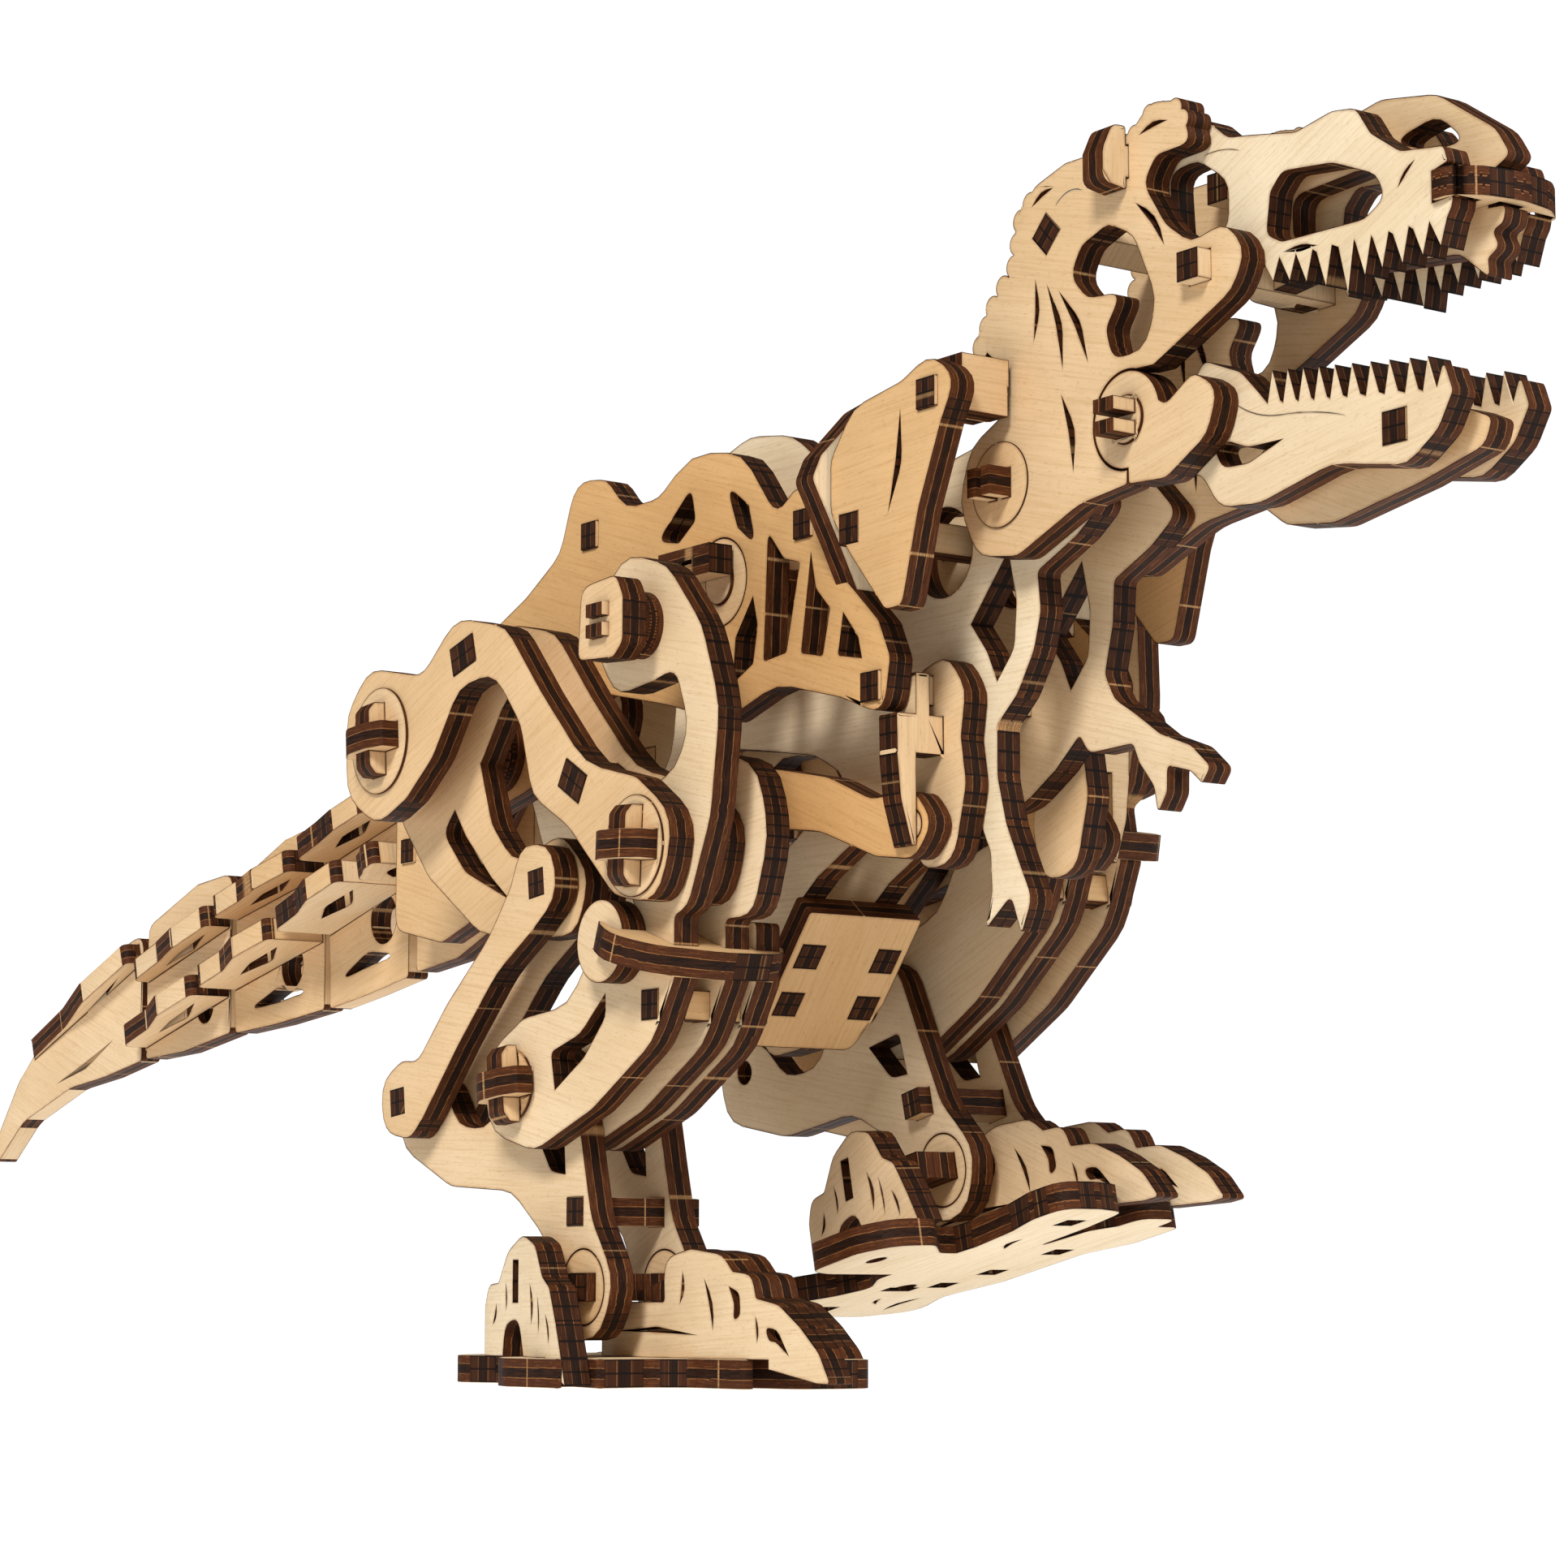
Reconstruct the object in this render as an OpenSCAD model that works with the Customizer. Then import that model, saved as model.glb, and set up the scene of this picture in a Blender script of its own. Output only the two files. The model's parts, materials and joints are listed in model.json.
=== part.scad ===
// Walking dinosaur skeleton, laser-cut plywood jigsaw mechanism.
// X runs forward to the snout, Y to the animal's left, Z up from the ground.

/* [Plywood] */
// Plate thickness in mm, also the side of every square tab
ply = 3.8; // [3.4:0.1:3.9]
// Spacing between neighbouring plate layers in mm
pitch = 4; // [3.95:0.05:4.1]

/* [Running fits] */
// Radius of the main pivot pins in mm
pin_r = 2.5; // [2:0.1:2.8]
// Radial clearance of the running fits in mm
run = 0.06; // [0.03:0.01:0.1]

/* [Feet] */
// How far each sole reaches across the centre line in mm
lobe = 4.9; // [4:0.1:4.9]

/* [Hidden] */
$fn = 48;
shift_x = 56.32;
// hinge points in the side view, [forward, up]
hip = [-41, 90];
knee = [24, 69];
crank_pin = [20, 98.5];
crank = [13.5, 107];
rod_top = [-6, 67];
rod_low = [-42, 39];
hock = [-11, 40];
ankle = [0, 13];
nape = [63, 113];
jaw_hinge = [87, 117];
link_top = [47, 88.6];
elbow = [49.6, 71];
// layers of the leg, distance of the inner face from the centre plane
in1 = 16.1;
in0 = 20.6;
rib = 16.6;
rib_shift = -5.5;
la = 25.1;
lb = la + pitch;
lc = lb + pitch;
ld = lc + pitch;
// raised pose of the left leg, degrees
thigh_up = 15.6;
shank_up = 10;
tarsus_up = 13.5;
foot_up = 12;

birch = [0.87, 0.74, 0.56];
edge_brown = [0.66, 0.48, 0.30];
light_birch = [0.92, 0.82, 0.66];

// ---------- rounded outlines: every corner is [x, z, radius] ----------
function unit(v) = v / norm(v);
function corner(p, c, n) =
  let (q = [c[0], c[1]],
       u = [p[0], p[1]] - q,
       v = [n[0], n[1]] - q,
       open = acos(max(-1, min(1, (u * v) / (norm(u) * norm(v))))),
       reach = c[2] <= 0 ? 0 : min(c[2] / tan(open / 2), 0.48 * min(norm(u), norm(v))),
       a = q + unit(u) * reach,
       b = q + unit(v) * reach,
       steps = max(2, ceil((180 - open) / 24)))
  reach < 0.05 ? [q] :
  [for (k = [0 : steps]) let (s = k / steps) (1 - s) * (1 - s) * a + 2 * s * (1 - s) * q + s * s * b];
function smooth(c) = [for (i = [0 : len(c) - 1])
  each corner(c[(i + len(c) - 1) % len(c)], c[i], c[(i + 1) % len(c)])];

module form(c) {
  polygon(smooth(c));
}

// one plate standing on edge, its inner face at distance d right of the centre plane
module leaf(d, thick = ply) {
  translate([0, -d, 0])
    rotate([90, 0, 0])
      linear_extrude(thick)
        children();
}
// one plate on the centre plane
module middle(thick = ply) {
  translate([0, thick / 2, 0])
    rotate([90, 0, 0])
      linear_extrude(thick)
        children();
}
module both() {
  children();
  mirror([0, 1, 0]) children();
}
module hole(p, r) {
  translate(p) circle(r);
}
module square_hole(p, turn = 0, size = ply) {
  translate(p) rotate(turn) square(size, center = true);
}
module oblong(p, turn) {
  translate(p) rotate(turn) square([p[0] < 0 ? 6 : 5.6, 4], center = true);
}
// row of small round bumps along a chain of points
module bumps(chain, r, step) {
  for (i = [0 : len(chain) - 2])
    let (a = chain[i], b = chain[i + 1], n = max(1, round(norm(b - a) / step)))
      for (k = [0 : n - 1]) translate(a + (b - a) * k / n) circle(r, $fn = 20);
}
// thin engraved-through slash with pointed ends, from a to b, bowed by w
module slash(a, b, w = 1) {
  m = (a + b) / 2;
  n = [-(b - a)[1], (b - a)[0]] / norm(b - a);
  q = m + n * w * 1.7;
  r = m + n * w * 0.4;
  form([[a[0], a[1], 0], [q[0], q[1], 6], [b[0], b[1], 0], [r[0], r[1], 8]]);
}
// round pin along Y between distances d0 and d1 right of the centre plane
module pin(p, r, d0, d1) {
  translate([p[0], -d0, p[1]])
    rotate([90, 0, 0])
      cylinder(r = r, h = d1 - d0);
}
module tube(p, r, bore, d0, d1) {
  difference() {
    pin(p, r, d0, d1);
    pin(p, bore, d0 - 1, d1 + 1);
  }
}
// square bar along Y
module bar(p, d0, d1, turn = 0, w = ply, h = ply) {
  translate([p[0], -d1, p[1]])
    rotate([0, -turn, 0])
      translate([-w / 2, 0, -h / 2])
        cube([w, d1 - d0, h]);
}
// split square peg with a key through it, standing out of a pivot
module peg(p, d0, turn = 20) {
  translate([p[0], -d0, p[1]])
    rotate([90, -turn, 0]) {
      translate([-1.9, 0.5, 0]) cube([3.8, 1.7, 3.4]);
      translate([-1.9, -2.2, 0]) cube([3.8, 1.7, 3.4]);
    }
}
// flat tongue through a pivot, locked by a key plate across it
module keyed_peg(p, d0, turn) {
  translate([p[0], -d0, p[1]]) rotate([0, -turn, 0]) {
    translate([-ply / 2, 0, 0]) rotate([90, 0, 90]) linear_extrude(ply)
      form([[0, -5.2, 0], [0, 5.2, 0], [-1.6, 5.2, 0.6], [-2.6, 4, 0.9], [-2.6, -4, 0.9], [-1.6, -5.2, 0.6]]);
    translate([0, 0, -ply / 2]) linear_extrude(ply)
      form([[-5.4, 0, 0], [-5.4, -2.2, 0.6], [-2.4, -3.8, 4], [2.4, -3.8, 4], [5.4, -2.6, 0.6], [5.4, 0, 0]]);
  }
}
module swing(c, a) {
  translate([c[0], 0, c[1]])
    rotate([0, -a, 0])
      translate([-c[0], 0, -c[1]])
        children();
}
function turned(c, a, p) = [c[0] + (p[0] - c[0]) * cos(a) - (p[1] - c[1]) * sin(a),
                            c[1] + (p[0] - c[0]) * sin(a) + (p[1] - c[1]) * cos(a)];
// carries a part hinged at p so that p lands on q and the part turns by a
module carry(p, q, a) {
  translate([q[0] - p[0], 0, q[1] - p[1]]) swing(p, a) children();
}
knee_up_at = turned(hip, thigh_up, knee);
rod_top_up = turned(hip, thigh_up, rod_top);
hock_up_at = turned(knee, shank_up, hock) + (knee_up_at - knee);
ankle_up_at = turned(hock, tarsus_up, ankle) + (hock_up_at - hock);
rod_low_up = turned(hock, tarsus_up, rod_low) + (hock_up_at - hock);
rod_turn = atan2((rod_low_up - rod_top_up)[1], (rod_low_up - rod_top_up)[0])
         - atan2((rod_low - rod_top)[1], (rod_low - rod_top)[0]);
module thigh_pose(left) {
  if (left) mirror([0, 1, 0]) swing(hip, thigh_up) children();
  else children();
}
module shank_pose(left) {
  if (left) mirror([0, 1, 0]) carry(knee, knee_up_at, shank_up) children();
  else children();
}
module tarsus_pose(left) {
  if (left) mirror([0, 1, 0]) carry(hock, hock_up_at, tarsus_up) children();
  else children();
}
module foot_pose(left) {
  if (left) mirror([0, 1, 0]) carry(ankle, ankle_up_at, foot_up) children();
  else children();
}
module rod_pose(left) {
  if (left) mirror([0, 1, 0]) carry(rod_top, rod_top_up, rod_turn) children();
  else children();
}
module place() {
  translate([shift_x, 0, 0]) children();
}

// ---------- body ----------
spacer_at = [[-18.5, 118.5], [32.5, 112], [-53, 98], [47, 88.6], [12, 75]];
body_side_form = [[-60, 100, 8], [-56, 106, 6], [-40, 108, 8], [-30, 112, 10], [-21, 117, 6],
  [-17, 127, 5], [-9, 126, 5], [-4, 121, 6], [4, 121, 6], [12, 126, 14], [24, 124, 9], [32, 114, 3],
  [37, 118, 3], [44, 106, 4], [54, 97, 2], [56.4, 92, 2], [55, 84.6, 3], [46, 88, 12], [32, 91.5, 12],
  [20, 88, 4], [6, 92, 5], [-12, 96, 5], [-28, 84, 5], [-46, 80, 7]];
module body_side_plates() color(birch) both() leaf(rib) difference() {
  translate([rib_shift, 0]) difference() {
    form(body_side_form);
    form([[4, 115, 1], [12, 121, 1], [13, 116.5, 1], [9, 114, 1]]);
    form([[20.5, 120, 1], [25.5, 116.5, 1], [27, 111, 1], [23, 114, 1]]);
    form([[30, 112, 0.5], [33.5, 108, 2], [37, 107, 0.5], [34, 95.5, 0.5], [29, 95, 0.5]]);
    form([[39.5, 108, 0], [40.5, 103, 2], [43.6, 100, 0.5], [42, 94, 0.5], [37.4, 95, 0.5]]);
    form([[46.5, 99, 0], [49.6, 95.4, 1], [50.4, 92.6, 0], [45.4, 93.6, 0.5]]);
    form([[26.5, 104, 0], [27.5, 100, 2], [26.5, 95, 0.5], [22, 93, 0.5], [22.6, 99, 1]]);
    form([[-12, 108, 2], [2, 114, 4], [8, 104, 3], [3, 99, 3], [-6, 100, 3]]);
  }
  for (k = [0 : 3]) square_hole(spacer_at[k]);
  hole(crank, 6 + run);
  bar_hole(hip);
}
module bar_hole(p) {
  square_hole(p, 0, 5.4);
}
chest_top = [[-60, 101, 6], [-42, 112, 12], [-24, 119, 12], [-10, 122, 6], [-6, 128, 5], [3, 130.6, 10],
  [13, 129, 10], [24, 121, 8], [34, 115, 6], [46, 119, 8], [58, 121, 5], [67, 121, 5], [73, 114, 4],
  [78, 109, 2], [72.8, 105.4, 4]];
chest_low = [[47, 75, 10], [30, 73, 8], [18.6, 67.4, 2], [14.8, 64.6, 0.4], [2.6, 49.4, 0.4], [-1, 46, 3],
  [-9, 45, 4], [-14, 51, 5], [-24, 52, 5], [-34, 62, 10], [-50, 78, 8]];
arm_down = [[65.2, 102.1, 1], [65.8, 97, 4], [64.3, 92, 6], [61, 87, 4], [57, 83.6, 1.5], [57, 77, 5], [58.6, 71, 5],
  [61.2, 65.6, 4], [63.6, 61, 3], [61.4, 56.6, 0.4], [59.4, 61.6, 1], [54.4, 57.8, 0.3], [55.6, 62.4, 2],
  [55.4, 67.4, 3], [53.6, 71, 4], [53.4, 78, 2], [51.4, 78.4, 1]];
arm_forward = [[65.8, 102.2, 1], [65.4, 96.5, 4], [63.8, 90.4, 1.5], [65.5, 87, 4], [69.7, 84.5, 5], [74.2, 81.5, 4],
  [79.7, 79.5, 3], [83.4, 76.4, 1], [81.8, 74.4, 0.4], [79.6, 76.2, 1], [75.4, 77.3, 0.6], [75.3, 74, 1.5],
  [73.5, 71.4, 0.5], [72.8, 75, 2], [70.1, 78.2, 2], [68.9, 80.8, 1], [60.4, 80.5, 2], [58.6, 83, 0.6], [53.7, 79, 2]];
module chest_plate(arm) leaf(4.2) difference() {
  form(concat(chest_top, arm, chest_low));
  square_hole(spacer_at[0]);
  square_hole(spacer_at[1]);
  square_hole(spacer_at[2]);
  square_hole(spacer_at[3]);
  square_hole(spacer_at[4]);
  hole(crank, 13);
  bar_hole(hip);
  hole([46.2, 107.4], 5.9);
  hole(nape, pin_r + run);
  form([[59.4, 105.6, 0], [56, 101.8, 4], [51.8, 97.2, 0], [55.1, 93.2, 3], [57, 89.2, 0], [60.4, 93, 3], [60.9, 99, 5]]);
  form([[-34, 106, 5], [-22, 110, 6], [-14, 104, 5], [-16, 88, 8], [-26, 78, 8], [-32, 88, 6], [-28, 96, 6]]);
  form([[-8, 88, 8], [6, 86, 8], [18, 84, 8], [26, 80, 4], [8, 70, 10], [-8, 62, 10], [-18, 72, 10]]);
}
module chest_plate_right() color(light_birch) chest_plate(arm_down);
module chest_plate_left() color(light_birch) mirror([0, 1, 0]) chest_plate(arm_forward);
module body_spacers() color(edge_brown) {
  for (k = [0 : 3]) bar(spacer_at[k], -rib - ply - 0.4, rib + ply + 0.4);
  bar(spacer_at[4], -8.4, 8.4);
}
// square axle through the body with a round journal and a split peg at each end
module hip_pins() color(edge_brown) both() {
  bar(hip, 4.2, rib + ply + 1, 0, 5.4, 5.4);
  pin(hip, 6, rib + ply + 0.05, lb - 0.2);
  pin(hip, pin_r, lb - 0.2, ld + ply);
  pin(hip, 7.6, ld + ply, ld + ply + 0.5);
  keyed_peg(hip, ld + ply + 0.5, 4);
}
// rump: two plates that carry the tail hinge
module rump_plates() color(birch) both() leaf(8.2) difference() {
  form([[-86, 92, 3], [-74, 96, 6], [-58, 103, 5], [-46, 102, 3], [-46, 92, 4], [-60, 78, 6],
    [-62, 68, 4], [-72, 65, 3], [-86, 68, 3]]);
  square_hole([-82, 80]);
  square_hole(spacer_at[2]);
}
// sloping plate under the chest with four pairs of tabs
belly_tabs = [[-3.9, 6.4], [3.9, 6.4], [-3.9, -6.4], [3.9, -6.4]];
module belly_plate() color(light_birch)
  translate([9.4, 0, 56.4]) rotate([0, 128.6, 0]) linear_extrude(ply) difference() {
    form([[-11, -9.6, 0.6], [-11, 9.4, 0.6], [3, 9.4, 2], [11, 7.4, 2], [11, -9.6, 1.4]]);
    for (p = belly_tabs) square_hole(p, 0, 3.8);
  }
// shoulder blade standing outside the rib plate
module shoulder_plates() color(birch) both() leaf(rib + pitch) translate([rib_shift, 0]) difference() {
  form([[49.2, 118, 3], [54, 124, 6], [64, 125.5, 6], [70, 128, 5], [75, 124, 4], [72, 119, 6],
    [67.5, 109, 6], [64, 97, 1.6], [60.5, 97, 1.6], [53.4, 105, 6], [49.2, 111, 3]]);
  square_hole([69.4, 123]);
  square_hole([53, 108.5], 0, 4);
  slash([63.8, 122], [61.2, 109], 0.9);
}
module shoulder_axle() color(edge_brown) {
  bar([53 + rib_shift, 108.5], -rib - pitch - ply, rib + pitch + ply, 0, 4, 4);
}
module collar_plate() color(light_birch) difference() {
  both() translate([45 + rib_shift, 0, 0]) rotate([90, 0, 90]) linear_extrude(ply)
    form([[10, 106, 2], [16.4, 99, 1], [19, 100, 1], [23, 108, 5], [27, 115.4, 1.5], [25.6, 118.6, 1.5],
      [19, 125.6, 4], [14, 128.6, 3], [10, 127, 2]]);
  both() leaf(rib) translate([rib_shift, 0]) form(body_side_form);
}
module neck_beam() color(edge_brown) {
  both() bar([69.4 + rib_shift, 123], 13, rib + pitch + ply + 0.4);
  both() translate([58.4, -rib - pitch + 0.2, 121.4]) difference() {
    cube([7.4, 7.6, 7]);
    translate([3.6, -1, -0.3]) cube([3.8, 10, 3.8]);
  }
}

// ---------- crank ----------
module crankshaft() color(edge_brown) pin(crank, 3, -rib - ply - 0.4, rib + ply + 0.4);
module crank_discs() color(birch) both() {
  tube(crank, 6, 3, rib, rib + ply);
  tube(crank, 12.9, 3, 4.3, 7.9);
}
module winding_drum() color(birch) difference() {
  pin(crank, 6.5, -4, 4);
  pin(crank, 3, -8, 8);
  translate([crank[0] + 5, -2, crank[1] - 1]) cube([3, 4, 2]);
}
module crank_clips() color(light_birch) both()
  translate([crank[0] - 8.5, -rib - ply - 4.3, crank[1] + 0.4]) difference() {
    cube([12, 3.8, 4.2]);
    translate([5, -1, 1.8]) cube([3, 6, 0.6]);
  }

// ---------- leg, drawn for the right side ----------
thigh_form = [[-51, 95, 5], [-45, 101, 7], [-35, 99, 4], [-30, 98, 6], [-21, 105, 8], [-8, 102, 8],
  [1, 92, 14], [12, 81, 14], [24, 78, 5], [33, 72, 8], [29, 61, 6], [19, 63, 6], [8, 73, 10],
  [-1, 78, 6], [-4, 88, 8], [-11, 96, 7], [-20, 95, 6], [-27, 86, 8], [-34, 81, 6], [-42, 78, 7], [-51, 83, 7]];
module thigh_plates() {
  leaf(ld) difference() {
    form(thigh_form);
    hole(hip, pin_r + run);
    hole(knee, pin_r);
    oblong([-19, 99.5], 15);
    oblong([9, 79], -30);
  }
  leaf(lb) difference() {
    union() {
      form(thigh_form);
      form([[-51, 92, 5], [-49, 80, 6], [-41, 71, 8], [-27, 62, 10], [-12, 60, 6], [-2, 60, 5], [1, 68, 5],
        [-6, 74, 5], [-18, 71, 6], [-24, 77, 6], [-28, 88, 4], [-40, 96, 5]]);
    }
    hole(hip, pin_r + run);
    hole(knee, pin_r);
    hole(rod_top, 1.9 + run);
    oblong([-19, 99.5], 15);
    oblong([9, 79], -30);
    form([[-34, 80, 0], [-37, 77, 2], [-31, 71, 6], [-19, 66, 0], [-24, 69.5, 6], [-31, 76, 6]]);
  }
  bar([-19, 99.5], lb, ld + ply + 0.1, 15, 6, 4);
  bar([9, 79], lb, ld + ply + 0.1, -30, 5.6, 4);
}
module knee_pin() {
  pin(knee, pin_r, la - 0.1, ld + ply);
  pin(knee, 6.6, ld + ply, ld + ply + 0.4);
  keyed_peg(knee, ld + ply + 0.4, -3);
}
c_form = [[9, 103, 8], [15, 109, 7], [25, 106, 9], [33, 97, 12], [37, 86, 12], [35, 72, 12], [30, 61, 7],
  [27, 60, 1], [27, 52, 1], [22, 44, 9], [8, 36, 12], [-6, 31, 7], [-18, 34, 7], [-19, 44, 7], [-9, 49, 7],
  [2, 50, 8], [7, 56, 3], [16, 57, 2], [18.5, 61, 3], [14, 68, 8], [18, 76, 7], [27, 79, 6], [30, 84, 8],
  [27, 92, 6], [22, 91, 6], [13, 90, 7], [9, 96, 6]];
shin_window = [[11, 51, 0], [11, 48, 2], [6, 43, 3], [-1, 39, 0], [-2, 44, 1], [5, 46, 6]];
shank_third_form = [[27, 60, 1], [27, 52, 1], [22, 44, 9], [8, 36, 12], [-6, 31, 7], [-18, 34, 7],
  [-19, 44, 7], [-9, 49, 7], [2, 50, 8], [7, 56, 3], [16, 57, 2], [18.5, 60, 1]];
shank_inner_form = [[36.5, 70, 10], [33, 60, 8], [27, 60, 1], [27, 52, 1], [22, 44, 9], [8, 36, 12], [-6, 31, 7],
  [-18, 34, 7], [-19, 44, 7], [-9, 49, 7], [2, 50, 8], [7, 56, 3], [16, 57, 2], [18.5, 61, 3], [12, 64, 6],
  [12, 76, 8], [22, 82.5, 9], [34, 80, 9]];
module shank_plates() {
  leaf(lc) difference() {
    form(c_form);
    hole(knee, pin_r + run);
    hole(hock, pin_r);
    square_hole(crank_pin);
    form(shin_window);
    square_hole([21.5, 49]);
  }
  leaf(la) difference() {
    form(shank_inner_form);
    hole(knee, pin_r + run);
    hole(hock, pin_r);
    form(shin_window);
    square_hole([21.5, 49]);
  }
  leaf(in0 - 0.4) difference() {
    form(shank_third_form);
    hole(hock, pin_r);
    square_hole([21.5, 49]);
  }
}
// level plate slotted over the three shank plates, with a small upright disc
module knee_plate() {
  bar([21.5, 49], in0 - 1, lc + ply + 0.1);
  difference() {
    translate([24, 0, 55.4]) rotate([0, 20, 0]) translate([0, 0, -ply / 2]) linear_extrude(ply)
      form([[-9, -42, 4], [-1, -44.6, 6], [3.4, -40, 5], [5, -30, 12], [4, -20.6, 4], [1, -18.6, 2], [-9, -18.6, 2]]);
    leaf(lc) form(c_form);
    leaf(la) form(shank_inner_form);
    leaf(in0 - 0.4) form(shank_third_form);
    leaf(lc + ply, 5) translate([15.4, 57.4]) circle(5.4);
  }
}
module knee_disc() leaf(lc + ply) hole([15.4, 57.4], 5.4);
module crank_peg() {
  bar(crank_pin, lc - 2, lc + ply);
  pin(crank_pin, 4.4, lc + ply, lc + ply + 3.2);
  leaf(lc + ply + 3.2) translate(crank_pin)
    form([[-5.4, -4.6, 1.4], [-4.6, 5, 2.4], [3.6, 5.6, 2], [5.2, 2.6, 2], [5.2, -3.4, 2], [3, -5.2, 1.4]]);
  peg(crank_pin, lc + 2 * ply + 0.8, 0);
}
rod_form = [[-12.6, 67, 4], [-10, 72.6, 5], [-2.4, 72, 5], [-0.6, 65, 5], [-7, 60.6, 6], [-16, 55.4, 20],
  [-26, 46, 20], [-35.2, 36.4, 4], [-38.6, 33.6, 4], [-46, 34.8, 5], [-46.8, 42, 5], [-41, 44.8, 4],
  [-36.8, 44.4, 4], [-29, 52, 20], [-18, 60.6, 20]];
module push_rods() {
  for (d = [la, lc]) leaf(d) difference() {
    form(rod_form);
    hole(rod_top, 1.9);
    hole(rod_low, 1.7);
  }
  pin(rod_top, 1.9, la, lc + ply);
  pin(rod_low, 1.7, la, lc + ply);
}
tarsus_form = [[-48, 43, 4], [-42, 45, 4], [-36, 41, 5], [-32, 35.5, 5], [-24, 34.5, 8], [-17, 44, 5],
  [-10, 47, 6], [-3, 43, 5], [0, 30, 10], [2, 22, 8], [7.5, 14, 6], [4, 6, 6], [-4, 6, 6], [-7.5, 14, 6],
  [-10, 20, 6], [-18, 26, 8], [-34, 27, 8], [-48, 33, 6]];
module tarsus_plates() {
  for (d = [in1, lb]) leaf(d) difference() {
    form(tarsus_form);
    hole(rod_low, d == lb ? 3.6 : 1.7);
    hole(hock, pin_r + run);
    hole(ankle, 5 + run);
    square_hole([-2, 23]);
    form([[-12, 34, 0], [-5, 34, 1], [-4.5, 28, 0], [-8, 28.5, 2]]);
  }
}
module tarsus_bars() {
  bar([-2, 23], in1, lb + ply + 0.1);
  bar([-2, 23], in1 - 2, in1 + 0.001);
}
module hock_pin() {
  pin(hock, pin_r, in1, ld + 0.2);
  pin(hock, 4.8, lc + ply, ld + 0.3);
  keyed_peg(hock, ld + 0.3, 6);
}
module ankle_peg(left) {
  pin(ankle, 5, in1, in1 + ply);
  pin(ankle, 5, lb, lb + ply);
  bar(ankle, left ? 9.6 : 13.8, lb + ply + (left ? 0.4 : 1.6), 0, 6, 3.6);
}

// sole: side lobe under the heel plate, rear pad and two toe pads, cut from one plate
sole_rim = [[-12, -34, 4], [-22, -31, 6], [-32, -34, 5], [-36, -27, 5], [-36, -9, 4], [-31, -7.2, 4],
  [-26.4, -7.6, 3], [-21.9, -11.4, 5], [-16.4, -13.8, 4], [-10.4, -10.6, 4], [10, -12, 5], [19, -10.8, 4],
  [26, -8.8, 4], [32.4, -8.8, 4], [32.4, -15, 4], [31, -20.2, 3], [22, -21.6, 3], [9, -22.2, 0.6], [20, -23.4, 3]];
// the outer toe pad of the left foot, the plain outer edge of the right one
function sole_form(left) = concat(sole_rim,
  left ? [[22.8, -26, 0.5], [27.4, -26.4, 3], [27.4, -32.8, 3], [22.8, -33.2, 0.5], [22.8, -37.4, 2],
          [13, -37.4, 3], [6, -34, 4], [-5, -34, 4]]
       : [[27.4, -24.6, 0.5], [27.4, -26.2, 1], [16, -26.2, 2], [12, -30, 3], [11.4, -38, 3], [8, -41.6, 3],
          [-5, -42, 4], [-10, -40, 4]]);
module heel_side(left) {
  if (left) translate([-20, -8.4, 0]) rotate([0, 0, 8.8]) translate([20, 0, 0]) children();
  else translate([-9, -lb - ply - 0.5, 0]) rotate([0, 0, -13]) translate([9, 0, 0]) children();
}
module sole(left) linear_extrude(ply) difference() {
  union() {
    form(sole_form(left));
    if (left) form([[-7.4, -13, 0], [-7.4, 0, 4], [-6, lobe - 0.9, 4], [5, lobe - 0.4, 4], [10.2, 1.6, 5],
      [10.8, -4.6, 3], [6, -9, 2], [6, -14, 0]]);
    else difference() {
      form([[-44, -22, 4], [-44, -2, 5], [-38, lobe, 5], [-17, lobe, 5], [-12, 0, 4], [-12, -14, 1]]);
      form([[-50, -12, 3], [-37, -9, 5], [-37, -3, 5], [-50, -1, 3]]);
    }
  }
  for (p = [[-5.7, -27.2], [-14.2, -25], [-30.4, -16], [7.2, -28.4], [24.4, -16.4]]) square_hole(p, 0, 3.2);
  translate([-17, -19.4]) scale([2, 1]) circle(1.6);
  translate([-17, -19.4]) square([2.4, 5], center = true);
  slash([9, -17.6], [15, -16], 0.8);
  slash([-31, -27], [-22, -27.6], 0.9);
  slash([-27, -22.6], [-23, -20.6], 0.5);
  if (left) translate([1.4, -1.6]) scale([1.8, 1]) circle(1);
  else {
    slash([3, -39], [-5, -39], 0.7);
    heel_side(false) translate([2.6, -ply - 0.05]) square([12, ply + 0.1]);
  }
}
toe_form = [[-10.5, 3.8, 0], [-10.5, 8, 1.5], [-5, 11.1, 3], [4.4, 11.1, 0.5], [4.2, 16.8, 4.5], [10.5, 18, 5],
  [17.6, 17.2, 4], [20, 15, 0.3], [24.2, 14.6, 2.6], [25.2, 11.6, 0.4], [30, 10.8, 4], [34.6, 8, 5],
  [38.6, 4.8, 5], [41, 0.9, 0.5], [38, 1, 0], [27.8, 2.6, 0], [27.8, 3.8, 0]];
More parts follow.
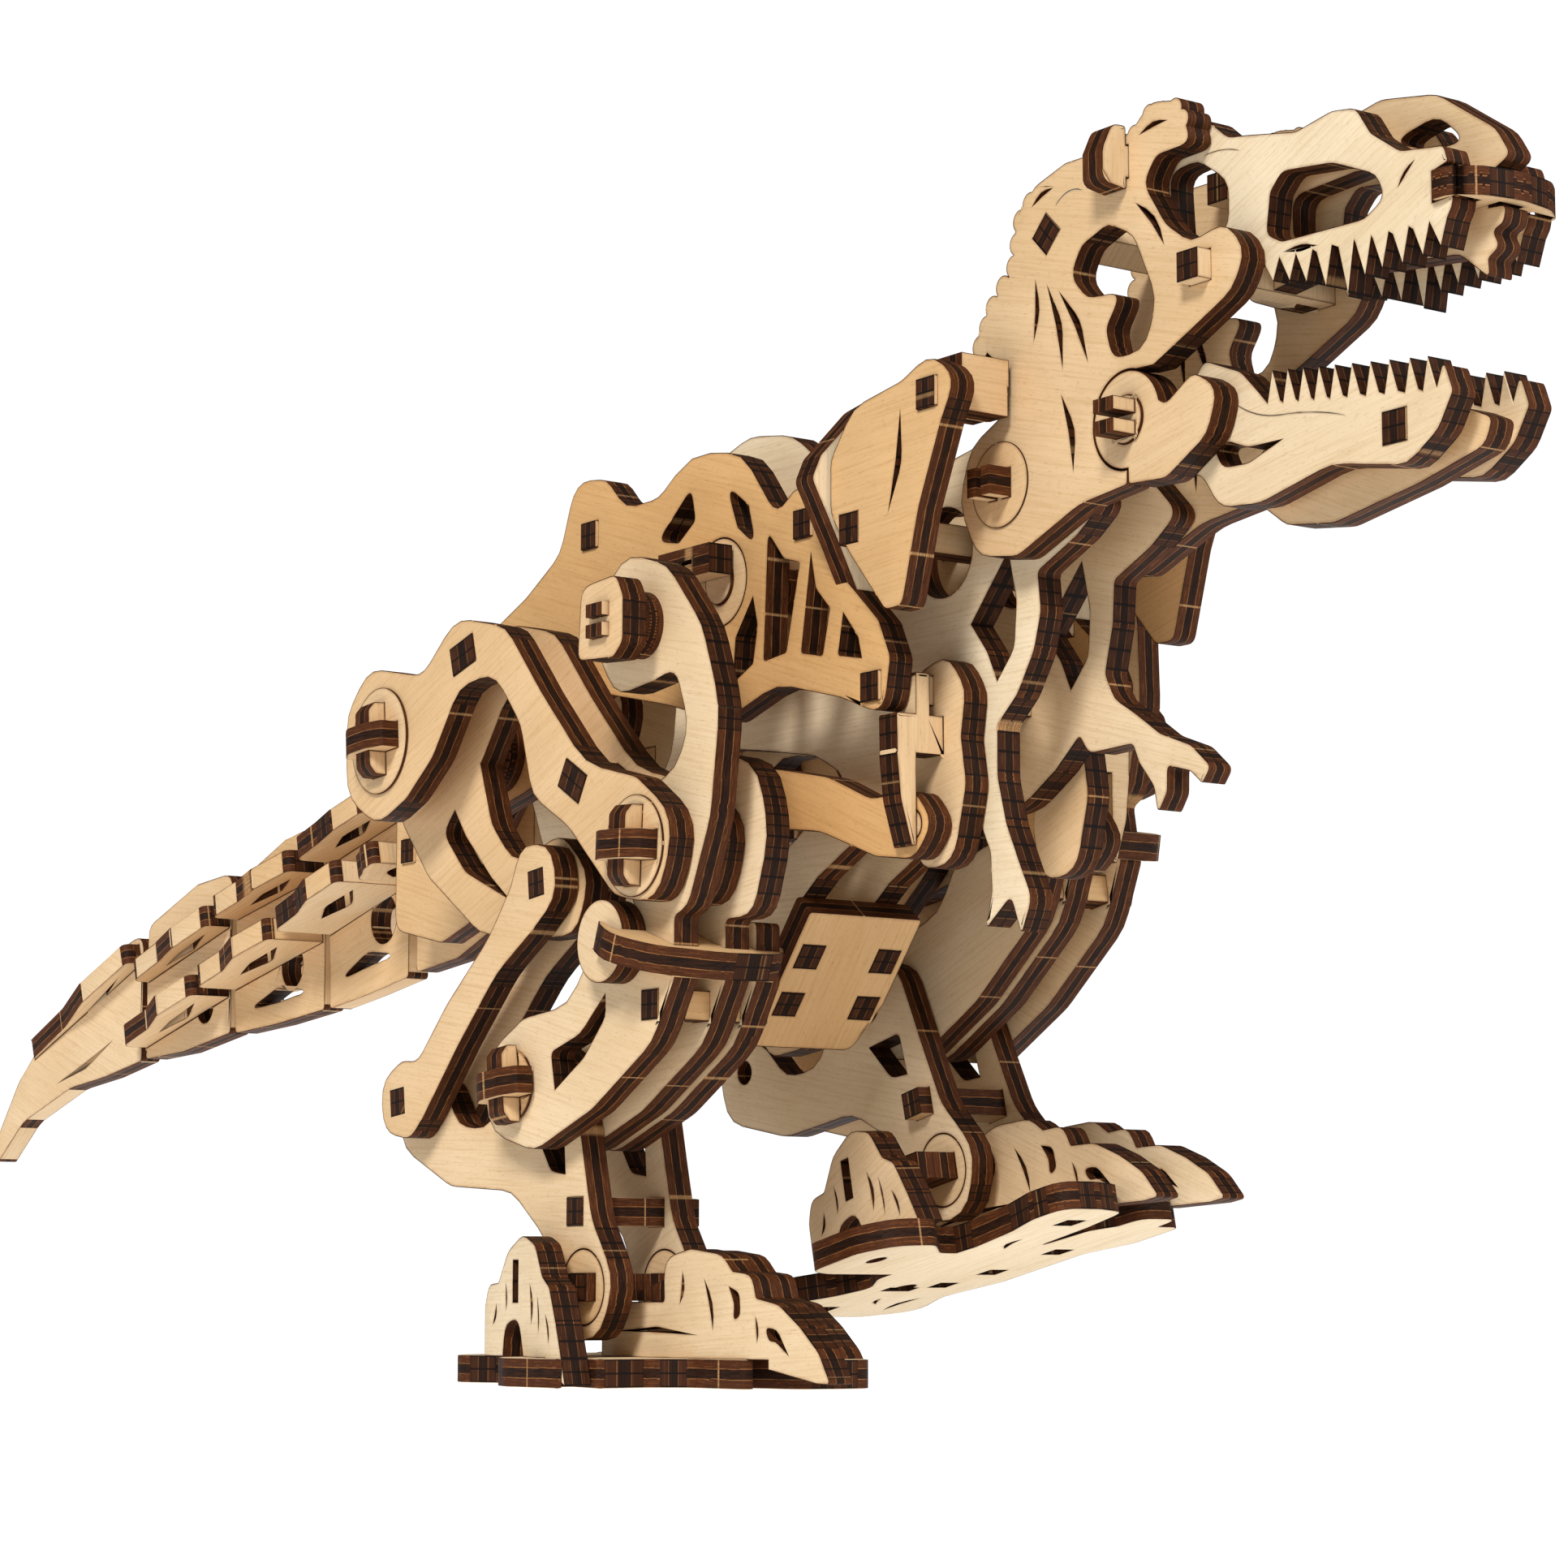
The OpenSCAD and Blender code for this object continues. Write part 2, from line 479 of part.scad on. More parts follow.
// toe plate with wrinkles and a claw that hangs in front of the sole
module toe() difference() {
  form(toe_form);
  slash([8.6, 15], [8, 10.8], 0.5);
  slash([13.6, 14], [15.6, 7.4], 0.6);
  form([[19.2, 13, 0], [21.4, 12.2, 1.2], [21.6, 9.4, 1], [20.2, 8.8, 1], [20.4, 11, 2]]);
  slash([25, 9.2], [25.4, 6], 0.25);
  form([[27.2, 7.8, 0.8], [29.6, 7.6, 2], [32.2, 4.4, 0], [29.4, 6.2, 3], [28, 6.2, 1]]);
  slash([-7, 7.2], [12, 6.8], 0.45);
}
module toe_brackets(left) {
  leaf(in0 + 1.2) difference() {
    translate([left ? -4.6 : 4, 0]) toe();
    translate(ankle) square([6.1, 3.7], center = true);
  }
  if (left) leaf(lb + ply + 0.5) difference() {
    translate([-4.6, 0]) toe();
    translate(ankle) square([6.1, 3.7], center = true);
  }
  else leaf(9.9) difference() {
    translate([-8, 0]) toe();
    square([70, 7.6], center = true);
  }
  // heel plate, turned a little outwards
  heel_side(left) leaf(0) difference() {
    union() {
      form([[-22, 3.8, 0], [-22, 10.4, 3], [-20.4, 13.4, 2.4], [-16.4, 13.6, 1], [-12.6, 17.8, 5], [-6.6, 20, 5],
        [-1.6, 18.6, 3], [1.2, 14.4, 1], [4, 13, 2], [6.6, 8.4, 5], [8.8, 3.8, 0]]);
      if (!left) form([[2.8, 4.6, 0], [2.8, 2.6, 0], [10.2, 0.4, 0], [8.8, 3.8, 0], [6.4, 4.6, 0]]);
    }
    translate([-9.4, 13.8]) square([2.2, 5.6], center = true);
    form([[-14.4, 3.8, 0], [-13.6, 8, 3], [-8, 9, 3], [-6, 3.8, 0]]);
    slash([-13.4, 13.6], [-13.2, 9.8], 0.35);
    slash([-3.6, 13.4], [-3, 8], 0.7);
    slash([-17.2, 10.8], [-18.6, 8], 0.5);
    slash([-0.6, 12], [0, 6.6], 0.25);
    slash([2.6, 9.4], [4, 5.6], 0.4);
  }
}

// ---------- swing links on the chest, drawn for the right side ----------
module swing_link() {
  leaf(8.2) difference() {
    form([[44.6, 86, 4], [45, 91, 4], [52, 93, 4], [55.6, 88, 4], [54.6, 82, 2], [55.6, 76, 5],
      [53, 66, 5], [46, 65.6, 5], [44.4, 72, 5]]);
    hole(elbow, 1.9);
    square_hole(link_top);
  }
  difference() {
    translate([47.2, 0, 0]) rotate([90, 0, 90]) linear_extrude(ply)
      form([[-19.4, 85, 0.4], [-16.4, 85, 0], [-16.4, 90.4, 0.4], [-14, 90.4, 0.4], [-14, 85, 0],
        [-12, 85, 0], [-12, 80, 0.2], [-16.2, 80, 0], [-16.2, 68.4, 0.4], [-17, 68, 0.4], [-18.8, 74, 6], [-19.4, 80, 4]]);
    bar(link_top, 4, 30, 0, ply + 0.02, ply + 0.02);
  }
  pin(elbow, 1.9, 8.2, 16);
}
module curved_rod() leaf(12.2) difference() {
  form([[8, 81, 3], [20, 81.4, 10], [32, 79, 14], [41, 75.2, 6], [50, 75.4, 3.6], [54, 71, 3.6], [50, 66.6, 3.6],
    [42, 67.6, 8], [30, 72, 14], [18, 73.6, 8], [8, 73, 3]]);
  hole(elbow, 1.9 + run);
  hole([13, 77], 1.6);
}

// ---------- head ----------
cheek_form = [[58.5, 132, 2], [60.5, 136, 2], [65.5, 140, 2.4], [66.2, 146, 3], [70, 150, 3], [76, 151.6, 3],
  [82, 151.5, 3], [88.5, 152.6, 3], [92, 155.4, 3], [97, 154.4, 2.4], [99.4, 148.6, 1.5], [93, 148.5, 2],
  [90.6, 145.6, 3], [94.6, 139.6, 6], [99, 136.4, 4], [105, 137.6, 4], [108.6, 133.4, 4], [106, 129, 5],
  [98, 125.4, 3], [92, 122.8, 1], [87, 123, 1], [87, 109, 0.6], [78, 108, 12], [66, 103.4, 4], [58, 104.6, 5], [54.4, 112, 6],
  [57, 119, 5], [63.6, 122, 3], [64.6, 127, 4]];
module cheek_plates() color(birch) both() leaf(8.2) difference() {
  union() {
    form(cheek_form);
    bumps([[58.8, 127.4], [58.9, 131.6], [61.6, 136.2], [65.8, 140.6], [67.2, 146.2], [71, 149.8]], 1.5, 2.7);
    bumps([[84.6, 150.8], [89, 152], [91.8, 153.9], [96.4, 153.5], [98.8, 150.2]], 1.3, 2.3);
  }
  hole(nape, pin_r);
  hole(jaw_hinge, 6.2);
  square_hole([72.2, 143.4], 45);
  translate([83.9, 146.9]) square([4, 4.2]);
  square_hole([100.5, 133]);
  form([[84, 142, 2.5], [88.6, 139.6, 4], [92.6, 131, 5], [90.6, 125, 4], [84.6, 125, 2.5], [83.4, 129, 2],
    [86.4, 133, 1.6], [80, 133.6, 3], [76.8, 137, 2.5], [79, 140.4, 2.5]]);
  slash([70, 138], [69.6, 130], 0.6);
  slash([72.3, 136.8], [75.2, 125.4], 0.8);
  slash([74.6, 135.5], [80, 125.4], 0.8);
  slash([89.2, 143.4], [94.2, 137.2], 0.8);
  slash([74.8, 122.4], [77, 112.2], 0.9);
  slash([69.5, 147.5], [73.5, 149], 0.5);
  slash([90, 151.8], [95, 152.4], 0.5);
}
tooth_x = [108.6, 111.4, 114.2, 117.4, 121, 123.8, 126.6, 129.8, 133, 135.8];
tooth_drop = [2.6, 3, 3.6, 4.6, 6, 4.4, 4, 4, 3.6, 3];
function gum(x) = 132.8 - (x - 107) * 0.05;
snout_form = [[88.4, 151.4, 2], [97.6, 152.6, 2], [101.4, 149.4, 3], [105, 148.8, 4], [113, 147.2, 4], [119, 148.2, 4], [123, 147.6, 2],
  [125.4, 144, 2], [130, 140.8, 3], [136.8, 139.8, 1], [137.4, 137.8, 0.4], [134.8, 137.2, 0], [134.8, 133.6, 0],
  [138.2, 133.8, 0.5], [137.8, 132.4, 0.8]];
module snout_side_plates() color(light_birch) both() leaf(4.2) difference() {
  form(concat(snout_form, [for (i = [9 : -1 : 0]) each [[tooth_x[i] + 1.3, gum(tooth_x[i]), 0],
    [tooth_x[i] + 0.2, gum(tooth_x[i]) - tooth_drop[i], 0], [tooth_x[i] - 1.3, gum(tooth_x[i]) - 0.3, 0]]],
    [[103, 134, 3], [100, 131, 1], [97, 131, 1], [92, 133, 3], [88.4, 137, 3]]));
  form([[91, 147.4, 2], [96, 147.8, 4], [101.4, 144, 4], [101.2, 138.4, 3], [97, 136.2, 3], [91.6, 138.6, 3]]);
  form([[108.6, 141, 1.5], [110.6, 143, 2], [119, 142, 6], [126, 139, 3], [127.4, 136, 2], [124, 134.2, 3],
    [110.4, 134.6, 2], [107.8, 136, 1.5]]);
  square_hole([100.5, 133]);
  slash([111, 133.3], [116, 132.9], 0.25);
  slash([129.5, 136.6], [132.2, 139.2], 0.3);
}
module snout_keel() color(birch) middle() difference() {
  form([[96, 146.5, 3], [106, 147.6, 6], [121, 150.2, 5], [130, 148.6, 6], [139, 142.4, 5], [141.2, 138.8, 1],
    [137.6, 137.2, 0], [137.6, 133.4, 0], [140.4, 133.2, 1], [139.8, 131.2, 1], [138.2, 130.6, 0.6],
    [139.2, 128.6, 1], [137.4, 127.6, 0.5], [137.6, 125.2, 1], [133, 129, 3],
    [120, 130.4, 6], [108, 132, 5], [98, 130.8, 3], [97, 138, 4]]);
  form([[122.6, 144.6, 1], [130, 146, 4], [134.4, 142, 1.6], [129, 142.2, 5]]);
  form([[106, 142, 2], [118, 142.6, 4], [124, 138, 3], [116, 135.4, 4], [106, 136.4, 2]]);
  square_hole([100.5, 133]);
}
module nose_plate() color(edge_brown) translate([0, 0, 133.6]) difference() {
  linear_extrude(3.5) form([[135.4, -8.8, 0.5], [138, -8.8, 2], [140.4, -5.6, 4], [141.4, 0, 8], [140.4, 5.6, 4],
    [138, 8.8, 2], [135.4, 8.8, 0.5]]);
  translate([130, -8, -1]) cube([8.6, 3.8, 6]);
  translate([130, 4.2, -1]) cube([8.6, 3.8, 6]);
  translate([130, -1.9, -1]) cube([9.4, 3.8, 6]);
}
module skull_bars() color(edge_brown) {
  bar([100.5, 133], -14, 14);
  bar([72.2, 143.4], -12, 12, 45);
  both() pin(nape, 5.5, 12, 12.3);
  both() peg(nape, 12.3, 90);
  both() pin(nape, pin_r, 4.2, 12);
  both() translate([84, 0, 0]) rotate([90, 0, 90]) linear_extrude(ply)
    form([[-4.4, 147, 0], [-4.4, 151, 0], [-12.2, 151, 0], [-12.2, 153.4, 0.4], [-14.4, 153.4, 2], [-16, 150, 2],
      [-16, 146, 1.6], [-12.2, 145.4, 0.4], [-12.2, 147, 0]]);
}

// ---------- jaw ----------
low_x = [108.6, 111.2, 113.8, 116.4, 119, 121.8, 124.8, 127.8, 131, 133.8];
function low_gum(x) = 115.8 - (x - 108) * 0.13;
module jaw_side_plates() color(light_birch) both() {
  leaf(4.2) difference() {
    form(concat([[85, 112, 3], [86, 122, 4], [93, 119, 3], [96.6, 123, 1.5], [103, 120.4, 3], [106, 117.4, 1]],
      [for (i = [0 : 9]) each [[low_x[i] - 1.1, low_gum(low_x[i]), 0],
        [low_x[i] - 0.2, low_gum(low_x[i]) + 3.8, 0], [low_x[i] + 1.1, low_gum(low_x[i]), 0]]],
      [[136, 115.6, 1], [137.4, 111.6, 1], [135, 107.6, 4], [130, 104.4, 4], [118, 106.6, 10], [106, 104, 8],
      [99, 104.6, 4], [96, 109, 3]]));
    square_hole([128.2, 109.2]);
    form([[98, 112.4, 1], [101, 112.2, 1], [104, 111, 4], [110, 111, 0], [104, 109.2, 3], [99.6, 109.4, 2]]);
  }
}
module jaw_keel() color(birch) middle() difference() {
  form([[99, 112, 3], [106, 114, 4], [120, 112.6, 8], [134, 111, 3], [137.4, 109.4, 1], [136.4, 106.4, 3],
    [126, 103.8, 6], [112, 101.4, 5], [104, 102.4, 4], [99, 106, 3]]);
  square_hole([128.2, 109.2]);
  square_hole([104, 108]);
}
module jaw_bars() color(edge_brown) {
  bar([128.2, 109.2], -8.1, 8.1);
  bar([104, 108], -4.2, 4.2);
  both() peg(jaw_hinge, 12.3, 0);
  both() pin(jaw_hinge, 3, 12, 12.3);
  both() leaf(8.1, 3.9) {
    hole(jaw_hinge, 6);
    form([[88, 122.6, 1], [91.4, 119.4, 1], [94, 117.6, 1.6], [99, 120.6, 2.4], [103.4, 118, 3],
      [101.4, 112.6, 4], [94, 108.6, 3], [87.2, 109, 0.6], [87.2, 112, 0]]);
  }
}

// ---------- tail ----------
// sloping fin from (x0, z0) at the body end down to (x1, z1), half widths w0 and w1
module fin(x0, z0, x1, z1, w0, w1) {
  a = atan2(z0 - z1, x0 - x1);
  run_len = norm([x0 - x1, z0 - z1]);
  difference() {
    translate([x1, 0, z1]) rotate([0, -a, 0]) linear_extrude(ply) difference() {
      form([[0, -w1, 2], [run_len * 0.35, -w1 - 0.6, 6], [run_len * 0.6, -w0, 4], [run_len, -w0, 1.5],
        [run_len, w0, 1.5], [run_len * 0.6, w0, 4], [run_len * 0.35, w1 + 0.6, 6], [0, w1, 2]]);
      for (m = [-1, 1]) form([[run_len * 0.3, m * (w1 * 0.62), 0], [run_len * 0.52, m * (w1 * 0.8), 5],
        [run_len * 0.86, m * (w0 * 0.66), 0], [run_len * 0.6, m * (w1 * 0.5), 5]]);
    }
    translate([x1 - 20, -ply / 2, z1 - 30]) cube([run_len + 60, ply, 80]);
  }
}
module tail_root() color(birch) {
  middle() difference() {
    form([[-62, 72, 2], [-62, 98, 4], [-96.6, 90, 3], [-96.6, 62.6, 1], [-84, 64, 6]]);
    square_hole([-82, 80]);
  }
  bar([-82, 80], -12.4, 12.4);
  fin(-87, 78.4, -94.6, 76.4, 15.6, 14);
}
module tail_near() color(birch) {
  middle() difference() {
    form([[-99, 62, 1], [-99, 92, 3], [-110, 92.6, 4], [-124.2, 88, 3], [-124.2, 58.4, 1], [-112, 60, 6]]);
    form([[-103, 66, 0.5], [-112, 67, 6], [-121, 63, 0.5], [-112, 64.6, 6]]);
    translate([-107, 72]) circle(4);
  }
  fin(-99.6, 76.6, -124, 70.6, 15, 12.6);
  fin(-99.6, 88, -123.6, 82.4, 10.4, 9);
}
module tail_mid() color(birch) {
  middle() difference() {
    form([[-126, 58.4, 1], [-126, 90, 3], [-140, 88, 4], [-156.8, 82, 3], [-156.8, 56.2, 1], [-142, 57, 6]]);
    form([[-131, 62, 0.5], [-142, 63, 6], [-152, 60, 0.5], [-142, 60.6, 6]]);
    translate([-137, 66.4]) circle(3.6);
  }
  fin(-126.6, 69.6, -156.6, 63.6, 12.4, 9.6);
  fin(-126.6, 81, -156.4, 75.6, 8.8, 7);
}
module tail_far() color(birch) {
  middle() difference() {
    form([[-158.6, 56.4, 1], [-158.6, 84, 3], [-172, 83, 4], [-190, 77, 3], [-190, 53.4, 1], [-176, 54, 6]]);
    translate([-168, 61.6]) circle(3);
  }
  fin(-159.2, 62.6, -189.8, 55.4, 9.4, 6.6);
  fin(-159.2, 74.6, -189.6, 67, 6.8, 5);
}
module tail_tip() color(birch) {
  middle() difference() {
    form([[-191.8, 53.2, 1], [-191.8, 76, 3], [-206, 72.6, 12], [-224, 64.6, 14], [-242, 52, 12], [-254.2, 38, 0.5],
      [-250.6, 36.8, 2], [-240, 44, 10], [-220, 49.6, 12], [-206, 51, 8]]);
    slash([-203, 57.6], [-226, 50.6], 0.7);
  }
  fin(-192.4, 70.6, -236, 55.4, 5, 2.4);
}

// ---------- show ----------
place() body_side_plates();
place() chest_plate_right();
place() chest_plate_left();
place() body_spacers();
place() hip_pins();
place() rump_plates();
place() belly_plate();
place() shoulder_plates();
place() shoulder_axle();
place() collar_plate();
place() neck_beam();
place() crankshaft();
place() crank_discs();
place() winding_drum();
place() crank_clips();
color(birch) place() thigh_pose(false) thigh_plates();  // thigh_plates_right
color(edge_brown) place() thigh_pose(false) knee_pin();  // knee_pin_right
color(light_birch) place() shank_pose(false) shank_plates();  // shank_plates_right
color(edge_brown) place() shank_pose(false) knee_plate();  // knee_plate_right
color(birch) place() shank_pose(false) knee_disc();  // knee_disc_right
color(edge_brown) place() shank_pose(false) crank_peg();  // crank_pin_right
color(birch) place() rod_pose(false) push_rods();  // push_rods_right
color(light_birch) place() tarsus_pose(false) tarsus_plates();  // tarsus_plates_right
color(edge_brown) place() tarsus_pose(false) tarsus_bars();  // tarsus_bars_right
color(edge_brown) place() shank_pose(false) hock_pin();  // hock_pin_right
color(birch) place() foot_pose(false) sole(false);  // sole_right
color(light_birch) place() foot_pose(false) toe_brackets(false);  // toe_brackets_right
color(edge_brown) place() foot_pose(false) ankle_peg(false);  // ankle_pin_right
color(birch) place() thigh_pose(true) thigh_plates();  // thigh_plates_left
color(edge_brown) place() thigh_pose(true) knee_pin();  // knee_pin_left
color(light_birch) place() shank_pose(true) shank_plates();  // shank_plates_left
color(edge_brown) place() shank_pose(true) knee_plate();  // knee_plate_left
color(birch) place() shank_pose(true) knee_disc();  // knee_disc_left
color(edge_brown) place() shank_pose(true) crank_peg();  // crank_pin_left
color(birch) place() rod_pose(true) push_rods();  // push_rods_left
color(light_birch) place() tarsus_pose(true) tarsus_plates();  // tarsus_plates_left
color(edge_brown) place() tarsus_pose(true) tarsus_bars();  // tarsus_bars_left
color(edge_brown) place() shank_pose(true) hock_pin();  // hock_pin_left
color(birch) place() foot_pose(true) sole(true);  // sole_left
color(light_birch) place() foot_pose(true) toe_brackets(true);  // toe_brackets_left
color(edge_brown) place() foot_pose(true) ankle_peg(true);  // ankle_pin_left
color(light_birch) place() swing_link();  // swing_link_right
color(birch) place() curved_rod();  // curved_rod_right
color(light_birch) place() mirror([0, 1, 0]) swing_link();  // swing_link_left
color(birch) place() mirror([0, 1, 0]) swing(elbow, -6) curved_rod();  // curved_rod_left
place() cheek_plates();
place() snout_side_plates();
place() snout_keel();
place() nose_plate();
place() skull_bars();
place() jaw_side_plates();
place() jaw_keel();
place() jaw_bars();
place() tail_root();
place() tail_near();
place() tail_mid();
place() tail_far();
place() tail_tip();
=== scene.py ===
"""Looks of the plywood walking dinosaur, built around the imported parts."""
import json
import math
import random

import bmesh
import bpy
import numpy as np
from mathutils import Matrix, Vector

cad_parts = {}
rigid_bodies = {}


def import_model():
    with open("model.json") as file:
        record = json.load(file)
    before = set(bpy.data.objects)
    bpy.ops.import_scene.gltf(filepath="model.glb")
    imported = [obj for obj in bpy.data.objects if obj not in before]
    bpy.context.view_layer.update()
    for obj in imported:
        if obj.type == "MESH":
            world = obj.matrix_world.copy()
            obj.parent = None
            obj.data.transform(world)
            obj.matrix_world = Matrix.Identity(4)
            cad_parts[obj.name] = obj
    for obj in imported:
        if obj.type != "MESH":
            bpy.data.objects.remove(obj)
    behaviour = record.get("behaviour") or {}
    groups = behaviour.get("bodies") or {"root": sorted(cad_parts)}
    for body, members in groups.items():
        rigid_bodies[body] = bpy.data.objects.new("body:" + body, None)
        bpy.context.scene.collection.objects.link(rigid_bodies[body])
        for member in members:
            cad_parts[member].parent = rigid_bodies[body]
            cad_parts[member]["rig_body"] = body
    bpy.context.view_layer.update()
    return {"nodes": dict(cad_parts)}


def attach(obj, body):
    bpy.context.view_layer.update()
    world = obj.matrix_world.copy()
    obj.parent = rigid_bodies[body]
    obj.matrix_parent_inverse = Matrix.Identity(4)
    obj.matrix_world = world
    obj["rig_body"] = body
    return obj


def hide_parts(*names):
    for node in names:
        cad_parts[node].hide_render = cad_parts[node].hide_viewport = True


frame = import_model()
MM = 0.001
PLY = 3.8 * MM
X0 = 56.32 * MM


def at(x, z, y=0.0):
    """A point of the side view in mm, as the part's own drawing has it."""
    return Vector((x * MM + X0, y * MM, z * MM))


# ---------------------------------------------------------------- camera
camera_data = bpy.data.cameras.new("camera")
camera = bpy.data.objects.new("camera", camera_data)
bpy.context.scene.collection.objects.link(camera)
camera.location = (0.4361 + X0, -0.3168, 0.012)
camera.rotation_euler = (math.radians(97.47), 0, math.radians(54))
camera_data.lens = 89.44
camera_data.sensor_width = 36
camera_data.clip_start = 0.01
bpy.context.scene.camera = camera


# ---------------------------------------------------------------- materials
class Graph:
    """Small helper that adds nodes in one line each."""

    def __init__(self, name):
        self.mat = bpy.data.materials.new(name)
        self.mat.use_nodes = True
        self.tree = self.mat.node_tree
        self.tree.nodes.clear()
        self.out = self.add("ShaderNodeOutputMaterial")
        self.bsdf = self.add("ShaderNodeBsdfPrincipled")
        self.join(self.bsdf.outputs[0], self.out.inputs[0])

    def add(self, kind, **values):
        node = self.tree.nodes.new(kind)
        for key, value in values.items():
            setattr(node, key, value)
        return node

    def join(self, a, b):
        if hasattr(a, "is_output"):
            self.tree.links.new(a, b)
        else:
            b.default_value = a

    def attr(self, name):
        return self.add("ShaderNodeAttribute", attribute_name=name)

    def math(self, op, a, b=0.0, c=0.0):
        n = self.add("ShaderNodeMath", operation=op)
        self.join(a, n.inputs[0])
        self.join(b, n.inputs[1])
        self.join(c, n.inputs[2])
        return n.outputs[0]

    def span(self, v, a, b, c=0.0, d=1.0, kind="SMOOTHSTEP"):
        n = self.add("ShaderNodeMapRange", interpolation_type=kind)
        self.join(v, n.inputs["Value"])
        for key, value in (("From Min", a), ("From Max", b), ("To Min", c), ("To Max", d)):
            n.inputs[key].default_value = value
        return n.outputs["Result"]

    def noise(self, vec, scale, detail=3.0, rough=0.55, distortion=0.0):
        n = self.add("ShaderNodeTexNoise")
        self.join(vec, n.inputs["Vector"])
        for key, value in (("Scale", scale), ("Detail", detail), ("Roughness", rough), ("Distortion", distortion)):
            n.inputs[key].default_value = value
        return n.outputs["Fac"]

    def stretch(self, vec, scale):
        n = self.add("ShaderNodeVectorMath", operation="MULTIPLY")
        self.join(vec, n.inputs[0])
        n.inputs[1].default_value = scale
        return n.outputs[0]

    def mix(self, t, a, b, blend="MIX"):
        n = self.add("ShaderNodeMix", data_type="RGBA", blend_type=blend)
        self.join(t, n.inputs[0])
        self.join(a, n.inputs[6])
        self.join(b, n.inputs[7])
        return n.outputs[2]

    def bump(self, height, strength, distance):
        n = self.add("ShaderNodeBump")
        self.join(height, n.inputs["Height"])
        n.inputs["Strength"].default_value = strength
        n.inputs["Distance"].default_value = distance
        self.join(n.outputs[0], self.bsdf.inputs["Normal"])


def rgb(r, g, b):
    """sRGB 0-255 to linear."""
    return tuple([((v / 255 + 0.055) / 1.055) ** 2.4 if v > 10 else v / 255 / 12.92 for v in (r, g, b)] + [1.0])


def face_material():
    """Sanded birch veneer: fine straight grain, faint mottling, scorched rim along every cut, and a board tone that is
    partly wood colour and partly painted light and shade.
    """
    g = Graph("birch_face")
    board = g.attr("board").outputs["Vector"]
    tone = g.attr("tone").outputs["Fac"]
    rim = g.attr("rim").outputs["Fac"]
    broad = g.noise(g.stretch(board, (22, 70, 0)), 1.0, 4.0, 0.6, 0.6)
    streak = g.noise(g.stretch(board, (70, 2300, 0)), 1.0, 4.0, 0.65, 0.1)
    fibre = g.noise(g.stretch(board, (420, 7000, 0)), 1.0, 2.0, 0.6)
    pores = g.noise(g.stretch(board, (800, 5200, 0)), 1.0, 1.0, 0.5)
    mottle = g.noise(g.stretch(board, (900, 900, 0)), 1.0, 3.0, 0.7)
    colour = g.mix(g.span(broad, 0.3, 0.72), rgb(236, 219, 190), rgb(226, 205, 171))
    colour = g.mix(g.math("MULTIPLY", g.span(streak, 0.42, 0.72), 0.5), colour, rgb(206, 178, 136))
    colour = g.mix(g.math("MULTIPLY", g.span(fibre, 0.5, 0.8), 0.25), colour, rgb(240, 228, 202))
    colour = g.mix(g.math("MULTIPLY", g.span(pores, 0.62, 0.76), 0.3), colour, rgb(150, 112, 70))
    colour = g.mix(g.math("MULTIPLY", g.span(mottle, 0.55, 0.75), 0.16), colour, rgb(160, 124, 84))
    # painted light and shade: the board tone tints boards that face the light paler and boards in shade more golden,
    # over the wood's own colour
    tint_with_painted_light = g.mix(g.span(tone, 0.0, 1.0, kind="LINEAR"), rgb(228, 192, 144), rgb(252, 250, 246))
    colour = g.mix(1.0, colour, tint_with_painted_light, "MULTIPLY")
    smoke = g.noise(g.stretch(board, (330, 330, 0)), 1.0, 2.0, 0.5)
    halo = g.math("MULTIPLY", g.math("POWER", rim, 1.6), g.span(smoke, 0.3, 0.7, 0.25, 0.7))
    colour = g.mix(halo, colour, rgb(140, 92, 50))
    across = g.math("ABSOLUTE", g.attr("slit").outputs["Fac"])
    cut = g.math("MULTIPLY", g.span(across, 0.0, 1.0, 1.0, 0.0), g.span(smoke, 0.3, 0.6, 0.75, 1.0))
    colour = g.mix(cut, colour, rgb(34, 20, 12))
    g.join(colour, g.bsdf.inputs["Base Color"])
    g.join(g.span(streak, 0.3, 0.7, 0.50, 0.66), g.bsdf.inputs["Roughness"])
    g.bsdf.inputs["Specular IOR Level"].default_value = 0.22
    height = g.math("ADD", g.math("MULTIPLY", streak, 0.6), g.math("MULTIPLY", fibre, 0.4))
    g.bump(height, 0.14, 0.0001)
    return g.mat


